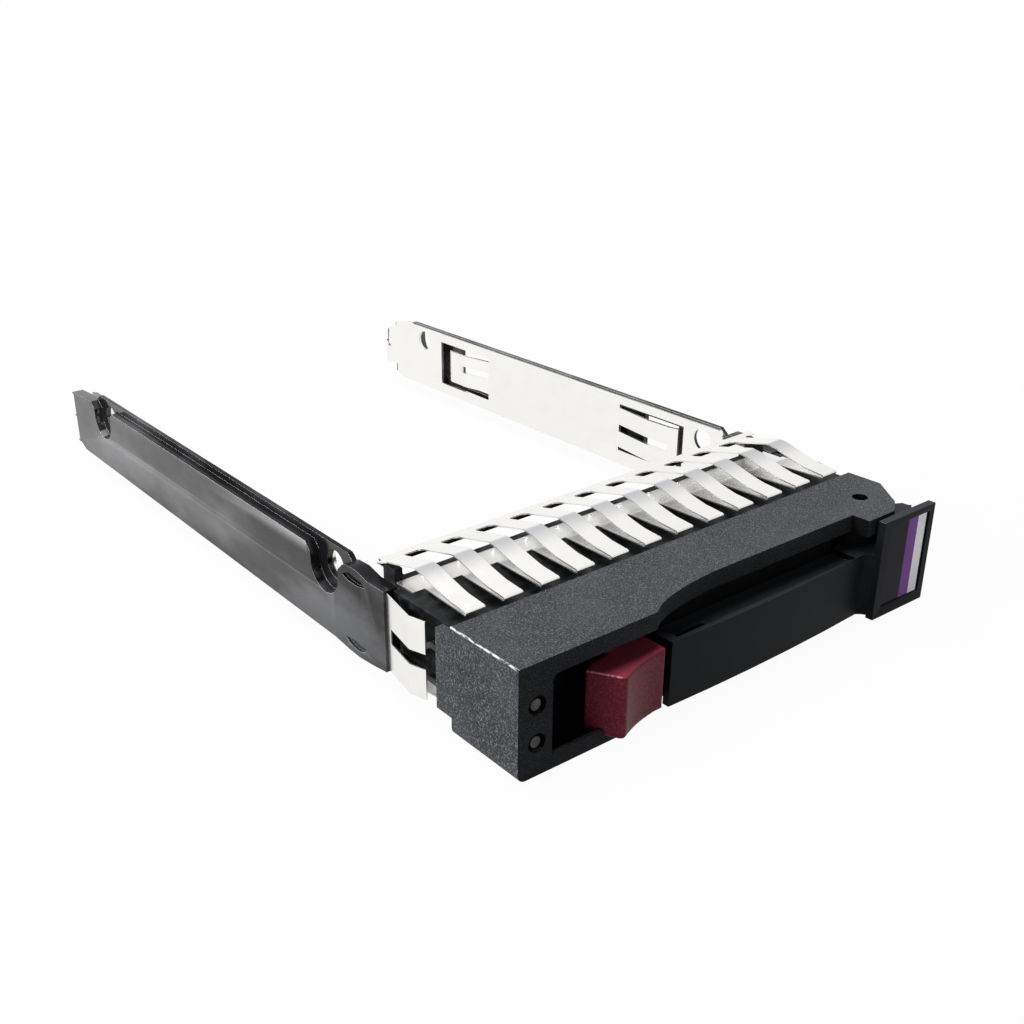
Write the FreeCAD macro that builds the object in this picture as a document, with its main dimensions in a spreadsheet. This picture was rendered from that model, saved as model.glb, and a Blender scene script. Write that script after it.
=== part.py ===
import FreeCAD, Part
import math
import os
import types

import Sketcher
from FreeCAD import Placement, Rotation, Vector

# Hot swap drive caddy for a 2.5 inch drive: a moulded front, two lined side rails and spring contact combs.
# Sizes are millimetres. Each piece is drawn from the front left bottom corner of the bezel, with X to the
# right, Y towards the drive and Z up, and then moved so that the origin is under the middle of the caddy.

SIZES = [
    ("width", 75.8, "over both side rails"),
    ("play", 0.15, "running gap beside moving pieces"),
    ("wall", 1.3, "moulded walls of the bezel"),
    ("bezel_tall", 15.44, "height of the bezel"),
    ("bezel_deep", 12.5, "depth of the bezel's tall front part"),
    ("bezel_in", 2.45, "right side of the bezel, from the caddy's right side"),
    ("roof", 2.46, "thickness of the bezel's top plate"),
    ("floor", 1.6, "thickness of the bezel's bottom plate"),
    ("corner_round", 1.2, "rounding along the bezel's lower left edge"),
    ("cheek_end", 15.5, "rear end of the low left cheek"),
    ("window_left", 5.2, "left side of the latch window"),
    ("window_sill", 2.2, "bottom of the latch window"),
    ("sill_lip", 0.5, "thickness of the window's sill"),
    ("window_round", 1.0, "rounding in the window's upper left corner"),
    ("sill_end", 15.6, "where the sill turns back from the face"),
    ("sill_turn", 14, "radius of the sill's turn"),
    ("latch_room", 6.4, "depth of the space behind the window"),
    ("keeper_end", 27.5, "right side of the space behind the window"),
    ("plate_turn", 21.5, "where the top plate's front edge turns back"),
    ("plate_scoop", 3.1, "how far the top plate's edge lies back above the lever"),
    ("recess_wall", 4.8, "wall behind the lever, under the top plate's edge"),
    ("hub_room", 15.6, "left side of the lever's pivot pocket, from the right side"),
    ("step_in", 14.4, "step in the top plate beside the tab, from the right side"),
    ("step_front", 0.25, "front edge of the plate beside the tab"),
    ("nose_in", 8.9, "right end of that front edge, from the right side"),
    ("nose_slant", 2.7, "first slant of the right corner"),
    ("chamfer_end", 7.2, "rear end of the slanted right corner"),
    ("pivot_in", 8.65, "lever pivot, from the right side"),
    ("pivot_y", 5.99, "lever pivot, from the face"),
    ("pin_dia", 3.0, "lever pivot pin"),
    ("pin_grip", 0.04, "how much wider the pin's seat in the bezel is"),
    ("pin_run", 0.1, "how much wider the lever's bore is"),
    ("pin_hole", 3.3, "mouth of the pivot hole in the top plate"),
    ("pin_sunk", 1.5, "how far the pin's top lies under the plate"),
    ("light_x", 2.85, "the two light holes"),
    ("light_high", 9.73, "height of the upper light hole"),
    ("light_low", 4.62, "height of the lower light hole"),
    ("light_hole", 2.6, "diameter of the light holes"),
    ("lens_dia", 1.5, "diameter of the light pipes' ends"),
    ("lens_back", 0.3, "how far the lenses lie behind the face"),
    ("pipe_thick", 0.9, "section of the light pipes"),
    ("pipe_turn", 8.0, "where the light pipes turn towards the rail"),
    ("pipe_ramp", 4.0, "length of the light pipes' slope into the rail"),
    ("high_drop", 2.5, "how far the upper pipe drops in the rail"),
    ("low_drop", 0.3, "how far the lower pipe drops in the rail"),
    ("pipe_end", 60.0, "rear end of the light pipes in the left rail"),
    ("groove_wide", 1.3, "grooves of the light pipes in the rail"),
    ("lever_left", 24.4, "left end of the lever"),
    ("lever_low", 0.9, "underside of the lever"),
    ("lever_high", 10.2, "top of the lever"),
    ("lever_deep", 4.5, "depth of the lever's shelf"),
    ("lever_keel", 2.5, "depth of the lever in front of the bezel's bottom plate"),
    ("lever_bow", 380, "radius of the lever's bowed face"),
    ("lever_fall", 0.85, "how far the lever's face lies back at the tab"),
    ("lever_wall", 1.2, "walls of the lever"),
    ("scoop_lip", 0.5, "flat edge in front of the shelf's scoop"),
    ("scoop_sunk", 0.7, "depth of the shelf's scoop at its rear"),
    ("slot_long", 5.5, "slot in the lever's shelf"),
    ("slot_wide", 0.9, "slot in the lever's shelf"),
    ("rib_count", 5, "ribs inside the lever"),
    ("rib_thick", 1.0, "ribs inside the lever"),
    ("hub_dia", 8.8, "hub of the lever"),
    ("hub_wall", 0.7, "wall round the lever spring's pocket"),
    ("boss_wall", 0.5, "wall round the bore inside the pocket"),
    ("pocket_deep", 3.4, "depth of the lever spring's pocket"),
    ("keeper_long", 2.2, "length of the lever's keeper"),
    ("keeper_back", 5.0, "rear of the lever's keeper"),
    ("cam_out", 1.7, "how far the cam tooth stands out beside the tab"),
    ("cam_low", 2.0, "underside of the cam tooth, over the hub's"),
    ("tab_in", 2.1, "right side of the label tab, from the caddy's right side"),
    ("tab_wide", 10.9, "width of the label tab"),
    ("tab_low", 0.4, "bottom of the label tab"),
    ("tab_high", 15.25, "top of the label tab"),
    ("tab_front", 1.33, "how far the tab stands in front of the bezel"),
    ("tab_thick", 1.1, "thickness of the label tab"),
    ("tab_fillet", 2.0, "hollow between the tab and the lever's top"),
    ("label_left", 1.5, "tab's border left of the label"),
    ("label_right", 1.1, "tab's border right of the label"),
    ("label_under", 1.6, "tab's border under the label"),
    ("label_over", 0.95, "tab's border over the label"),
    ("label_sunk", 0.3, "depth of the label's recess"),
    ("label_thick", 0.15, "thickness of the label"),
    ("label_gap", 0.1, "gap round the label"),
    ("latch_left", 11.8, "left side of the latch"),
    ("latch_right", 23.1, "right side of the latch"),
    ("latch_out", 2.35, "how far the latch's ridge stands out"),
    ("latch_flank", 1.8, "where the latch's slanted left side begins"),
    ("latch_low", 1.4, "underside of the latch's thumb block"),
    ("ridge_in", 2.7, "latch's ridge, from its left side"),
    ("ridge_round", 0.7, "rounding of the latch's ridge"),
    ("thumb_hollow", 21, "radius of the latch's thumb hollow"),
    ("stem_in", 4.6, "left side of the latch's slide, from its left side"),
    ("post_wide", 2.2, "post that takes the latch's spring"),
    ("frame_left", 1.45, "left edge of the inner frame's deck"),
    ("frame_step", 1.5, "corners of the inner frame's deck"),
    ("deck_top", 14.06, "top of the deck"),
    ("deck_thick", 1.2, "thickness of the deck"),
    ("deck_back", 29.1, "rear edge of the deck"),
    ("belly_low", 2.57, "underside of the inner frame"),
    ("side_front", 18.5, "front end of the inner frame's side walls"),
    ("tie_back", 31.4, "rear side of the tie bar"),
    ("tie_wide", 1.0, "the tie bar along the caddy"),
    ("tie_low", 15.35, "underside of the tie bar"),
    ("tie_tall", 0.6, "height of the tie bar"),
    ("gauge", 0.2, "thickness of the spring sheet"),
    ("finger_count", 12, "fingers of each comb"),
    ("finger_wide", 3.0, "width of a finger"),
    ("finger_first", 4.4, "centre of the first finger, from the left side"),
    ("finger_last", 5.95, "centre of the last finger, from the right side"),
    ("finger_nose", 13.1, "front of the folded fingers"),
    ("nose_lift", 0.37, "height of the nose, as a part of the crest's"),
    ("fold", 0.62, "height of the fold at the fingers' noses"),
    ("finger_flat", 2.8, "flat part of the fingers behind the fold"),
    ("finger_bow", 30, "radius of the fingers' bow"),
    ("bow_end", 1.8, "from the bow's end to the crease"),
    ("crest_y", 23.6, "crease of the fingers"),
    ("crest_high", 17.95, "highest point of the upper comb"),
    ("crest_low", 0.35, "lowest point of the lower comb"),
    ("strip_front", 23.9, "front edge of the comb's strip on the frame"),
    ("strip_back", 27.55, "rear edge of the comb's strip on the frame"),
    ("slot_start", 1.2, "width of the slots between the lower leaves, at the strip"),
    ("rear_strip", 1.2, "width of the combs' rear strips"),
    ("root_round", 0.8, "rounding between the fingers and the rear strip"),
    ("rail_front", 26.4, "front end of the rails"),
    ("rail_low", 2.05, "underside of the rails"),
    ("rail_high", 14.3, "top of the rails' outer part"),
    ("rail_lip", 15.3, "top of the rails' inner web"),
    ("rail_thick", 2.3, "width of a rail"),
    ("rail_web", 0.8, "inner web of a rail"),
    ("rail_skin", 1.0, "outer wall of a rail"),
    ("rail_flange", 1.2, "flanges of a rail"),
    ("rail_bump", 0.5, "bump on the rail in front of the notch"),
    ("rail_tail", 15.25, "from the rear drive screw to the rails' rear teeth"),
    ("tooth", 0.9, "length of the rails' rear teeth"),
    ("lens_long", 5.4, "lens-shaped hollows at the rail's front end"),
    ("lens_deep", 0.5, "depth of the lens-shaped hollows"),
    ("notch_wide", 7.0, "width of the screw notches"),
    ("notch_low", 8.3, "bottom of the screw notches"),
    ("notch_shift", 0.7, "how far the left rail's notches lie behind its screws"),
    ("notch_flare", 1.2, "flare at the mouth of the screw notches"),
    ("screw_z", 12.3, "height of the drive screws"),
    ("screw_front", 40.15, "front drive screw"),
    ("screw_spacing", 76.6, "between the drive screws"),
    ("screw_hole", 3.9, "drive screw holes in the liners"),
    ("liner_gauge", 0.5, "thickness of the rail liners"),
    ("liner_low", 2.3, "underside of the liners"),
    ("liner_high", 15.05, "top of the liners"),
    ("liner_front", 35.7, "front end of the liners' tall part"),
    ("liner_short", 1.0, "how far the liners end before the rails"),
    ("tongue_in", 1.2, "how far the rear tongues stand in"),
    ("rear_window", 15.5, "length of the liners' rear windows"),
    ("front_window", 14.9, "length of the liners' front windows"),
    ("side_out", 0.85, "how far the side springs bow out"),
    ("side_seat", 0.36, "how deep the side springs sit in the rail"),
    ("side_grip", 2.8, "length of the side springs inside the rail"),
    ("side_bow", 6.4, "from the side springs' seat to their crease"),
    ("side_long", 8.8, "length of the side springs in front of the rail"),
    ("fit", 0.01, "clearance of seated sheet"),
    ("wire_dia", 0.5, "wire of the two coil springs"),
    ("latch_coil", 1.0, "radius of the latch's spring"),
    ("latch_turns", 8, "turns of the latch's spring"),
    ("lever_turns", 3, "turns of the lever's spring"),
]


class Dim:
    """A length with both its present value and the sheet formula that it comes from."""

    def __init__(self, value, text):
        self.value = value
        self.text = text

    def mixed(self, other, sign, value):
        return Dim(value, "(%s %s %s)" % (self.text, sign, as_dim(other).text))

    def __add__(self, other):
        return self.mixed(other, "+", self.value + as_dim(other).value)

    def __sub__(self, other):
        return self.mixed(other, "-", self.value - as_dim(other).value)

    def __mul__(self, other):
        return self.mixed(other, "*", self.value * as_dim(other).value)

    def __truediv__(self, other):
        return self.mixed(other, "/", self.value / as_dim(other).value)

    def __radd__(self, other):
        return as_dim(other) + self

    def __rsub__(self, other):
        return as_dim(other) - self

    def __rmul__(self, other):
        return as_dim(other) * self

    def __neg__(self):
        return Dim(-self.value, "(-1 * %s)" % self.text)


def as_dim(number):
    if isinstance(number, Dim):
        return number
    return Dim(float(number), "(%.6f)" % number)


class Arc:
    """The edge between two corners of an outline: an arc that bulges to the left or right of the way along."""

    def __init__(self, radius, bulge):
        self.radius = as_dim(radius)
        self.bulge = bulge


doc = FreeCAD.newDocument("drive_caddy")
sheet = doc.addObject("Spreadsheet::Sheet", "Sizes")
for row, (alias, value, note) in enumerate(SIZES, start=1):
    sheet.set("A%d" % row, note)
    sheet.set("B%d" % row, str(value))
    sheet.setAlias("B%d" % row, alias)
doc.recompute()
s = types.SimpleNamespace(**{alias: Dim(float(value), "Sizes." + alias) for alias, value, note in SIZES})

s.screw_rear = s.screw_front + s.screw_spacing
s.depth = s.screw_rear + s.rail_tail
s.bezel_right = s.width - s.bezel_in
s.hub_left = s.width - s.hub_room
s.step_x = s.width - s.step_in
s.nose_right = s.width - s.nose_in
s.pivot_x = s.width - s.pivot_in
s.tab_right = s.width - s.tab_in
s.tab_left = s.tab_right - s.tab_wide
s.under = s.bezel_tall - s.roof
s.finger_start = s.finger_first - s.finger_wide / 2
s.finger_pitch = (s.width - s.finger_first - s.finger_last) / (s.finger_count - 1)
mid_x = s.width / 2
mid_y = (s.depth - s.latch_out) / 2
PLANES = {"x": "YZ_Plane", "y": "XZ_Plane", "z": "XY_Plane"}


def place(item):
    """Moves a finished piece so that the origin lies under the middle of the caddy."""
    item.setExpression("Placement.Base.x", (-mid_x).text)
    item.setExpression("Placement.Base.y", (-mid_y).text)


def new_body(label):
    body = doc.addObject("PartDesign::Body", label)
    body.Label = label
    place(body)
    return body


def origin_part(body, role):
    return [part for part in body.Origin.OriginFeatures if part.Role == role][0]


def arc_between(start, end, radius, bulge):
    chord = end - start
    half = chord.Length / 2
    side = Vector(-chord.y, chord.x, 0) / chord.Length * (1 if bulge == "left" else -1)
    rise = radius - math.sqrt(radius * radius - half * half)
    return Part.Arc(start, (start + end) / 2 + side * rise, end)


def draw(sketch, outline):
    """Adds one closed outline of corners and arcs, each corner held by the sheet."""
    corners = [item for item in outline if not isinstance(item, Arc)]
    edges = []
    for spot, item in enumerate(outline):
        if not isinstance(item, Arc):
            after = outline[(spot + 1) % len(outline)]
            edges.append(after if isinstance(after, Arc) else None)
    points = [Vector(as_dim(x).value, as_dim(y).value, 0) for x, y in corners]
    count = len(corners)
    first = sketch.GeometryCount
    for spot, edge in enumerate(edges):
        start, end = points[spot], points[(spot + 1) % count]
        if edge:
            sketch.addGeometry(arc_between(start, end, edge.radius.value, edge.bulge))
        else:
            sketch.addGeometry(Part.LineSegment(start, end))
    # An arc is stored anticlockwise, so the end at which it meets a corner depends on the way it bulges.
    begins = [2 if edge and edge.bulge == "left" else 1 for edge in edges]
    for spot, edge in enumerate(edges):
        after = (spot + 1) % count
        sketch.addConstraint(Sketcher.Constraint("Coincident", first + spot, 3 - begins[spot],
                                                 first + after, begins[after]))
    for spot, (x, y) in enumerate(corners):
        for axis, length in (("DistanceX", as_dim(x)), ("DistanceY", as_dim(y))):
            held = Sketcher.Constraint(axis, -1, 1, first + spot, begins[spot], length.value)
            sketch.setExpression("Constraints[%d]" % sketch.addConstraint(held), length.text)
    for spot, edge in enumerate(edges):
        if edge:
            held = sketch.addConstraint(Sketcher.Constraint("Radius", first + spot, edge.radius.value))
            sketch.setExpression("Constraints[%d]" % held, edge.radius.text)


def draw_circle(sketch, centre, diameter):
    x, y = as_dim(centre[0]), as_dim(centre[1])
    circle = Part.Circle(Vector(x.value, y.value, 0), Vector(0, 0, 1), diameter.value / 2)
    spot = sketch.addGeometry(circle)
    for axis, length in (("DistanceX", x), ("DistanceY", y)):
        held = sketch.addConstraint(Sketcher.Constraint(axis, -1, 1, spot, 3, length.value))
        sketch.setExpression("Constraints[%d]" % held, length.text)
    held = sketch.addConstraint(Sketcher.Constraint("Diameter", spot, diameter.value))
    sketch.setExpression("Constraints[%d]" % held, diameter.text)


def new_sketch(body, across, low, outlines, circles):
    """A sketch square to one axis at a given place. Its own axes are Y and Z, X and Z, or X and Y."""
    sketch = body.newObject("Sketcher::SketchObject", "Outline")
    sketch.AttachmentSupport = [(origin_part(body, PLANES[across]), "")]
    sketch.MapMode = "FlatFace"
    offset = -as_dim(low) if across == "y" else as_dim(low)
    sketch.AttachmentOffset = Placement(Vector(0, 0, offset.value), Rotation())
    sketch.setExpression("AttachmentOffset.Base.z", offset.text)
    for outline in outlines:
        draw(sketch, outline)
    for centre, diameter in circles:
        draw_circle(sketch, centre, diameter)
    return sketch


def add(body, across, low, high, outlines=(), circles=()):
    """Raises outlines square to an axis, from low to high along it."""
    feature = body.newObject("PartDesign::Pad", "Pad")
    feature.Profile = new_sketch(body, across, low, outlines, circles)
    feature.Reversed = across == "y"
    feature.setExpression("Length", (as_dim(high) - low).text)
    return feature


def cut(body, across, low, high, outlines=(), circles=()):
    """Sinks outlines square to an axis, from low to high along it."""
    feature = body.newObject("PartDesign::Pocket", "Pocket")
    feature.Profile = new_sketch(body, across, low, outlines, circles)
    feature.Reversed = across != "y"
    feature.setExpression("Length", (as_dim(high) - low).text)
    return feature


def repeat(body, features, axis, pitch, count):
    """Repeats features along an axis of the body."""
    pattern = body.newObject("PartDesign::LinearPattern", "Row")
    pattern.Originals = features
    pattern.Direction = (origin_part(body, axis), [""])
    pattern.setExpression("Length", (pitch * (count - 1)).text)
    pattern.setExpression("Occurrences", count.text)
    body.Tip = pattern
    return pattern


def box(x1, y1, x2, y2):
    return [(x1, y1), (x2, y1), (x2, y2), (x1, y2)]


def in_order(one, other):
    return sorted((as_dim(one), as_dim(other)), key=lambda length: length.value)


def plate_outline():
    """Plan of the bezel's top plate: straight face, scooped finger edge, nose beside the tab, slanted corner."""
    back = s.plate_scoop
    return [(0, 0),
            (s.plate_turn, 0), Arc(12, "left"),
            (s.plate_turn + 4, back * 0.59), Arc(44, "left"),
            (s.plate_turn + 14.5, back),
            (s.step_x, back * 0.92),
            (s.step_x, s.step_front),
            (s.nose_right, s.step_front),
            (s.nose_right + s.nose_slant, s.step_front + 1.95),
            (s.bezel_right, s.chamfer_end),
            (s.bezel_right, s.bezel_deep),
            (0, s.bezel_deep)]


def sill_edge():
    """Front edge of the bezel's lower parts, from the corner to the room behind the latch."""
    return [(s.sill_end, 0), Arc(s.sill_turn, "left"), (s.latch_right, s.plate_scoop)]


def make_bezel():
    body = new_body("bezel")
    top, under, rear = s.bezel_tall, s.under, s.bezel_deep
    inner_rear = rear - s.wall
    web = s.hub_left - s.wall
    add(body, "z", under, top, [plate_outline()])
    base = [(0, 0)] + sill_edge() + [
        (s.step_x, s.plate_scoop), (s.nose_right, s.step_front + 1.95), (s.nose_right + s.nose_slant, 3.6),
        (s.bezel_right, s.chamfer_end), (s.bezel_right, rear), (0, rear)]
    add(body, "z", 0, s.floor, [base])
    add(body, "z", s.floor, under, [box(0, 0, s.window_left, rear)])
    lip = s.sill_lip
    sill = [(s.window_left, 0)] + sill_edge() + [
        (s.keeper_end, s.plate_scoop), (s.keeper_end, s.plate_scoop + lip), (s.latch_right, s.plate_scoop + lip),
        Arc(s.sill_turn, "right"), (s.sill_end, lip), (s.window_left, lip)]
    add(body, "z", s.floor, s.window_sill, [sill])
    # One bent wall closes the latch's room, runs behind the lever and turns back beside its hub.
    right = s.bezel_right - s.wall * 1.7
    walls = [(s.window_left, s.latch_room), (s.keeper_end, s.latch_room),
             (s.keeper_end, s.recess_wall), (s.hub_left, s.recess_wall),
             (s.hub_left, inner_rear), (right, inner_rear), (right, rear), (web, rear),
             (web, s.recess_wall + s.wall), (s.keeper_end + s.wall, s.recess_wall + s.wall),
             (s.keeper_end + s.wall, s.latch_room + s.wall), (s.window_left, s.latch_room + s.wall)]
    add(body, "z", s.floor, under, [walls])
    corner = [(s.window_left, under), (s.window_left, under - s.window_round), Arc(s.window_round, "left"),
              (s.window_left + s.window_round, under)]
    add(body, "y", 0, s.latch_room, [corner])
    add(body, "y", rear, s.cheek_end, [box(0, s.belly_low, s.wall, s.deck_top)])
    # Channel for the light pipes behind the two round holes.
    cut(body, "z", s.floor, under, [box(s.wall, s.wall, s.window_left - s.wall, rear)])
    cut(body, "y", 0, s.wall, circles=[((s.light_x, s.light_high), s.light_hole),
                                       ((s.light_x, s.light_low), s.light_hole)])
    pivot = (s.pivot_x, s.pivot_y)
    cut(body, "z", s.floor / 2, top, circles=[(pivot, s.pin_dia + s.pin_grip)])
    cut(body, "z", top - s.pin_sunk, top, circles=[(pivot, s.pin_hole)])
    rounding = [(0, 0), (s.corner_round, 0), Arc(s.corner_round, "left"), (0, s.corner_round)]
    cut(body, "y", 0, s.cheek_end, [rounding])


def make_inner_frame():
    body = new_body("inner_frame")
    left, right, step = s.frame_left, s.width - s.frame_left, s.frame_step
    front, neck = s.bezel_deep, s.rail_front - s.play
    add(body, "z", s.deck_top - s.deck_thick, s.deck_top,
        [[(left, s.cheek_end), (s.wall + s.play, front), (s.bezel_right, front), (right, front + step),
          (right, neck), (right - step, neck), (right - step, s.deck_back),
          (left + step, s.deck_back), (left + step, neck), (left, neck)]])
    # The side walls stand inside the liners, carry the rails and hold the tie bar up.
    lug = s.rail_thick + s.liner_gauge
    wall = s.deck_thick
    belly = lug + wall
    add(body, "z", s.belly_low, s.belly_low + wall, [box(belly, front, s.width - belly, s.deck_back)])
    tie_front = s.tie_back - s.tie_wide
    for near, far in ((lug, lug + wall * 2), (s.width - lug - wall * 2, s.width - lug)):
        add(body, "z", s.belly_low, s.deck_top, [box(near, s.side_front, far, tie_front)])
    for near, far in ((lug, lug + wall), (s.width - lug - wall, s.width - lug)):
        add(body, "z", s.deck_top, s.tie_low + s.tie_tall, [box(near, s.strip_back + s.play, far, tie_front)])
    add(body, "z", s.tie_low, s.tie_low + s.tie_tall, [box(lug, tie_front, s.width - lug, s.tie_back)])
    # The front web plugs into the bezel behind its walls.
    add(body, "z", s.belly_low, s.under, [box(s.window_left, front - s.wall, s.hub_left - s.wall, front + wall)])


def make_comb(label, deck, crest, hem, tail, strip_end):
    """One folded sheet: a strip on the frame, lower leaves, folded noses, bowed upper leaves and a rear strip."""
    body = new_body(label)
    up = 1 if crest.value > deck.value else -1
    gauge = s.gauge * up
    rise = crest - deck
    nose_low = deck + rise * s.nose_lift
    nose_high = nose_low + s.fold * up
    flat_high = nose_high + rise * 0.05
    shoulder = crest - rise * 0.06
    front = s.finger_nose + s.fold / 2
    flat = front + s.finger_flat
    bow_end = s.crest_y - s.bow_end
    strip = tail - s.rear_strip
    left, right = s.finger_start, s.finger_start + s.finger_wide
    following = left + s.finger_pitch
    last = s.width - s.finger_last + s.finger_wide / 2
    far = s.width - s.finger_start
    gaps = s.finger_count - 1
    round_off = s.root_round
    # The upper sheet falls from the crease to the rear strip, with a window between each two fingers.
    upper = [(s.crest_y, crest), (strip, hem + gauge), (tail, hem + gauge), (tail, hem), (strip, hem),
             (s.crest_y, crest - gauge)]
    add(body, "x", left, strip_end, [upper])
    before = s.crest_y - 1
    window = [(right, before), (following, before), (following, strip - round_off), Arc(round_off, "right"),
              (following - round_off, strip), (right + round_off, strip), Arc(round_off, "right"),
              (right, strip - round_off)]
    margin = [(last, before), (strip_end + 1, before), (strip_end + 1, strip), (last + round_off, strip),
              Arc(round_off, "right"), (last, strip - round_off)]
    bounds = in_order(hem - gauge, crest + gauge)
    repeat(body, [cut(body, "z", *bounds, [window])], "X_Axis", s.finger_pitch, gaps)
    cut(body, "z", *bounds, [margin])
    # The lower sheet lies on the frame and rises to the noses, with tapered slots between its leaves.
    lower = [(s.strip_back, deck), (s.strip_front, deck), (front, nose_low), (front, nose_low + gauge),
             (s.strip_front, deck + gauge), (s.strip_back, deck + gauge)]
    add(body, "x", left, far, [lower])
    middle = (right + following) / 2
    slot = [(right, front - 1), (following, front - 1), (middle + s.slot_start / 2, s.strip_front),
            (middle - s.slot_start / 2, s.strip_front)]
    margin = [(last, front - 1), (far + 1, front - 1), (far + 1, s.strip_front), (last + 1, s.strip_front)]
    bounds = in_order(deck - gauge, nose_high)
    repeat(body, [cut(body, "z", *bounds, [slot])], "X_Axis", s.finger_pitch, gaps)
    cut(body, "z", *bounds, [margin])
    bulge, inner = ("left", "right") if up > 0 else ("right", "left")
    finger = [(s.strip_front, deck), (front, nose_low), Arc(s.fold * 0.53, bulge), (front, nose_high),
              (flat, flat_high), Arc(s.finger_bow, inner), (bow_end, shoulder), (s.crest_y, crest),
              (s.crest_y, crest - gauge), (bow_end, shoulder - gauge), Arc(s.finger_bow, bulge),
              (flat, flat_high - gauge), (front, nose_high - gauge), (front, nose_low + gauge),
              (s.strip_front, deck + gauge)]
    repeat(body, [add(body, "x", left, right, [finger])], "X_Axis", s.finger_pitch, s.finger_count)


def rail_outline(shift):
    """Side view of a rail, along Y and up Z, with both screw notches open at the top."""
    half = s.notch_wide / 2
    low, high, front, depth = s.rail_low, s.rail_high, s.rail_front, s.depth
    outline = [(front, low + 0.25), (front + 3.2, low - 0.2), (front + 6.3, low - s.rail_bump),
               (front + 8.8, low - s.rail_bump * 0.8), (front + 12.4, low),
               (depth - 3.7, low + 0.85), (depth - 1.5, low + 1.85)]
    for spot in (low + 2.05, low + 7.15, high - 0.6):
        outline += [(depth - s.tooth, spot - 0.35), (depth, spot - 0.1), (depth - s.tooth, spot + 0.2)]
    outline.pop()
    base = s.notch_low + half
    for centre in (s.screw_rear + shift, s.screw_front + shift):
        mouth = half + s.notch_flare
        outline += [(centre + mouth, high), (centre + half, high - s.notch_flare),
                    (centre + half, base), Arc(half, "left"),
                    (centre, s.notch_low), Arc(half, "left"),
                    (centre - half, base), (centre - half, high - s.notch_flare),
                    (centre - mouth, high)]
    outline += [(front + 8.8, high + s.rail_bump * 0.8), (front + 6.4, high + s.rail_bump),
                (front + 3.8, high - 0.1), (front, high - 0.1)]
    return outline


def make_rail(label, mirrored):
    """A moulded channel with a flat outer wall, an inner web with the screw holes, and two open notches."""
    body = new_body(label)

    def span(near, far):
        """A stretch across the rail, counted from its outer face."""
        return in_order(s.width - far, s.width - near) if mirrored else (as_dim(near), as_dim(far))

    thick, web = s.rail_thick, s.rail_thick - s.rail_web
    front, rear = s.screw_front, s.screw_rear
    add(body, "x", *span(0, thick), [rail_outline(as_dim(0) if mirrored else s.notch_shift)])
    foot = s.notch_low - 1
    lip = [(s.liner_front, foot), (rear + 6, foot), (rear + 6, s.rail_high), (rear + 4.5, s.rail_lip),
           (s.liner_front + 1.2, s.rail_lip), (s.liner_front, s.rail_high)]
    add(body, "x", *span(web, thick), [lip])
    hole = s.screw_hole + 0.4
    cut(body, "x", *span(web, thick), circles=[((front, s.screw_z), hole), ((rear, s.screw_z), hole)])
    ground = s.notch_wide / 2 + s.notch_shift + s.rail_flange
    middle = front + s.screw_spacing / 2
    low, high = s.rail_low + s.rail_flange, s.rail_high - s.rail_flange
    cells = [box(front + ground, low, middle - s.rib_thick / 2, high),
             box(middle + s.rib_thick / 2, low, rear - ground, high)]
    cut(body, "x", *span(s.rail_skin, thick), cells)
    # Two lens-shaped hollows beside the bend at the front end.
    start = s.rail_front + 4.4
    for height, over, below in ((s.rail_high - 1.35, 4.6, 8.0), (s.rail_low + 1.35, 11.0, 4.3)):
        lens = [(start, height), Arc(below, "right"), (start + s.lens_long, height), Arc(over, "right")]
        cut(body, "x", *span(0, s.lens_deep), [lens])
    seat = box(s.rail_front, s.rail_low + 0.6, s.rail_front + s.side_grip + s.play, s.rail_high - 0.4)
    cut(body, "x", *span(s.side_seat - s.fit, s.side_seat + s.gauge + s.fit), [seat])
    if mirrored:
        # The outer wall is open behind the liner's tongues, and its tail is stepped.
        windows = [box(front + 5.1, 5.0, front + 14.4, s.screw_z + 0.3), box(rear - 21.7, 4.4, rear - 10.5, 12.9)]
        cut(body, "x", *span(0, s.rail_skin), windows)
        step = s.depth - 4.0
        cut(body, "x", *span(0, thick), [box(step, 11.8, s.depth + 1, s.rail_lip), box(step, 0, s.depth + 1, 4.8)])
    else:
        # The light pipes run in two grooves of the left rail.
        half = s.groove_wide / 2
        for height in (s.light_high - s.high_drop, s.light_low - s.low_drop):
            groove = box(s.rail_front, height - half, s.pipe_end + 0.5, height + half)
            cut(body, "x", s.rail_skin, thick, [groove])


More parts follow.
